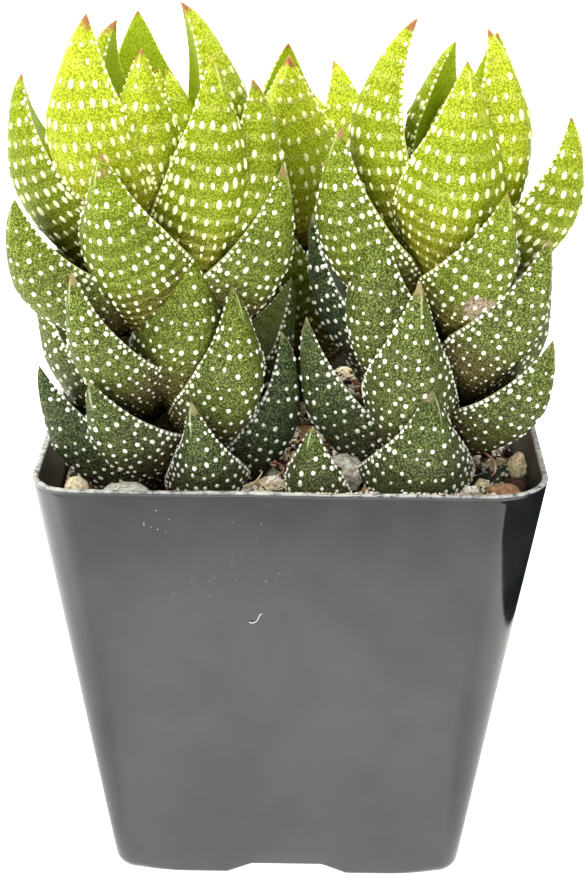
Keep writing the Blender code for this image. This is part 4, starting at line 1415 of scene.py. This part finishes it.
# %% The thread tree
THREAD_SIDES, THREAD_STEPS = 7, 6

thread_tree, add, given = new_group(
    "threads along paths", Paths="Geometry", Radius="Float", Finish="Material"
)
curve = add("MeshToCurve", [given["Paths"]])
curve = add("CurveSplineType", [curve], spline_type="CATMULL_ROM")
curve = add("SetSplineResolution", {"Geometry": curve, "Resolution": THREAD_STEPS})
circle = add("CurvePrimitiveCircle", {"Resolution": THREAD_SIDES, "Radius": given["Radius"]})
thread = add("CurveToMesh", {"Curve": curve, "Profile Curve": circle, "Fill Caps": True})
end_group(add, thread, given["Finish"])


# %% Lay the threads
FIBRE_HEIGHT, FIBRE_GAP = 41.6, 0.02  # about its middle, and from the wall, in mm
FIBRE = ((-5.0, 41.4), (-4.5, 41.3), (-4.0, 41.7), (-3.7, 42.4), (-3.4, 42.6))
ROOTLETS = (  # start in mm, length, turn at each step in radians, first direction and seed
    ((8.6, -16.2, 58.0), 5.0, 0.55, (1, 0, 0.5), 1),
    ((9.6, -14.8, 58.2), 4.0, -0.6, (-1, 0.2, 0.6), 2),
    ((-1.6, -20.6, 57.8), 5.0, 0.6, (1, 0.2, 0.35), 3),
    ((-0.4, -19.8, 58.0), 4.5, -0.5, (-0.4, 0.4, 0.5), 4),
    ((25.0, -20.4, 58.0), 4.0, 0.4, (0.8, 0, 0.4), 5),
)
HUSKS, HUSK_LENGTH, HUSK_SEED = 12, 3.4, 20
PATH_STEPS = 9


def thread_material(name, stops):
    """Dry plant fibre whose colour changes along it."""
    material, add = new_material(name)
    place = add("TexCoord").outputs["Object"]
    colour = add("ValToRGB", [add("TexNoise", {"Vector": place, "Scale": 800.0, "Detail": 2.0})], stops)
    add("OutputMaterial", [add("BsdfPrincipled", {"Base Color": colour, "Roughness": 0.7})])
    return material


def curl(start, length, turns, heading, seed):
    """A path in mm that wanders and curls as it goes."""
    chance = random.Random(seed)
    points = [Vector(start)]
    direction = Vector(heading).normalized()
    for i in range(PATH_STEPS):
        direction = Matrix.Rotation(turns * (0.6 + 0.8 * chance.random()), 3, "Z") @ direction
        direction.z += chance.uniform(-0.25, 0.25)
        points.append(points[-1] + direction.normalized() * length / PATH_STEPS)
    return points


husk_paths = []
for i in range(HUSKS):
    start = (-6.0 + 0.55 * i, -24.6 + 0.25 * (i % 4), 58.0)
    turns, heading = 0.2 - 0.08 * i, (1, (i % 3 - 1) * 0.8, 0.12)
    husk_paths.append(curl(start, HUSK_LENGTH, turns, heading, HUSK_SEED + i))
front_wall = -outer_width(FIBRE_HEIGHT) / 2 - FIBRE_GAP
fibre_path = [Vector((x, front_wall, z)) for x, z in FIBRE]
root_brown = thread_material("dried root", {0.35: "#8a5240", 0.55: "#b98470", 0.7: "#d9b49c"})
husk_straw = thread_material("dried husk", {0.35: "#cdb88a", 0.55: "#e2d4a8", 0.7: "#f2ead0"})
fibre_white = thread_material("white fibre", {0.4: "#d8d8d2", 0.6: "#f0f0ec"})
for name, material, radius, paths in (
    ("dried_rootlets", root_brown, 0.13, [curl(*rootlet) for rootlet in ROOTLETS]),
    ("husk", husk_straw, 0.09, husk_paths),
    ("stray_fibre", fibre_white, 0.045, [fibre_path]),
):
    points, edges = [], []
    for path in paths:
        edges += [(len(points) + i, len(points) + i + 1) for i in range(len(path) - 1)]
        points += [p * MM for p in path]
    mesh = bpy.data.meshes.new(name)
    mesh.from_pydata(points, edges, [])
    threads = bpy.data.objects.new(name, mesh)
    scene.collection.objects.link(threads)
    run_tree(threads, thread_tree, Radius=radius * MM, Finish=material)
    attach(threads, "root")
    print(name, len(threads.data.polygons), "faces")

# %% Print the sizes and finish
bpy.context.view_layer.update()
sizes = {"cad": [list(c) for c in cad_box], "visual": [list(c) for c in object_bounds()]}
print(sizes)
triangles = sum(len(p.vertices) - 2 for o in scene.objects if o.type == "MESH" for p in o.data.polygons)
print("triangles in all, with the unseen solids:", triangles)
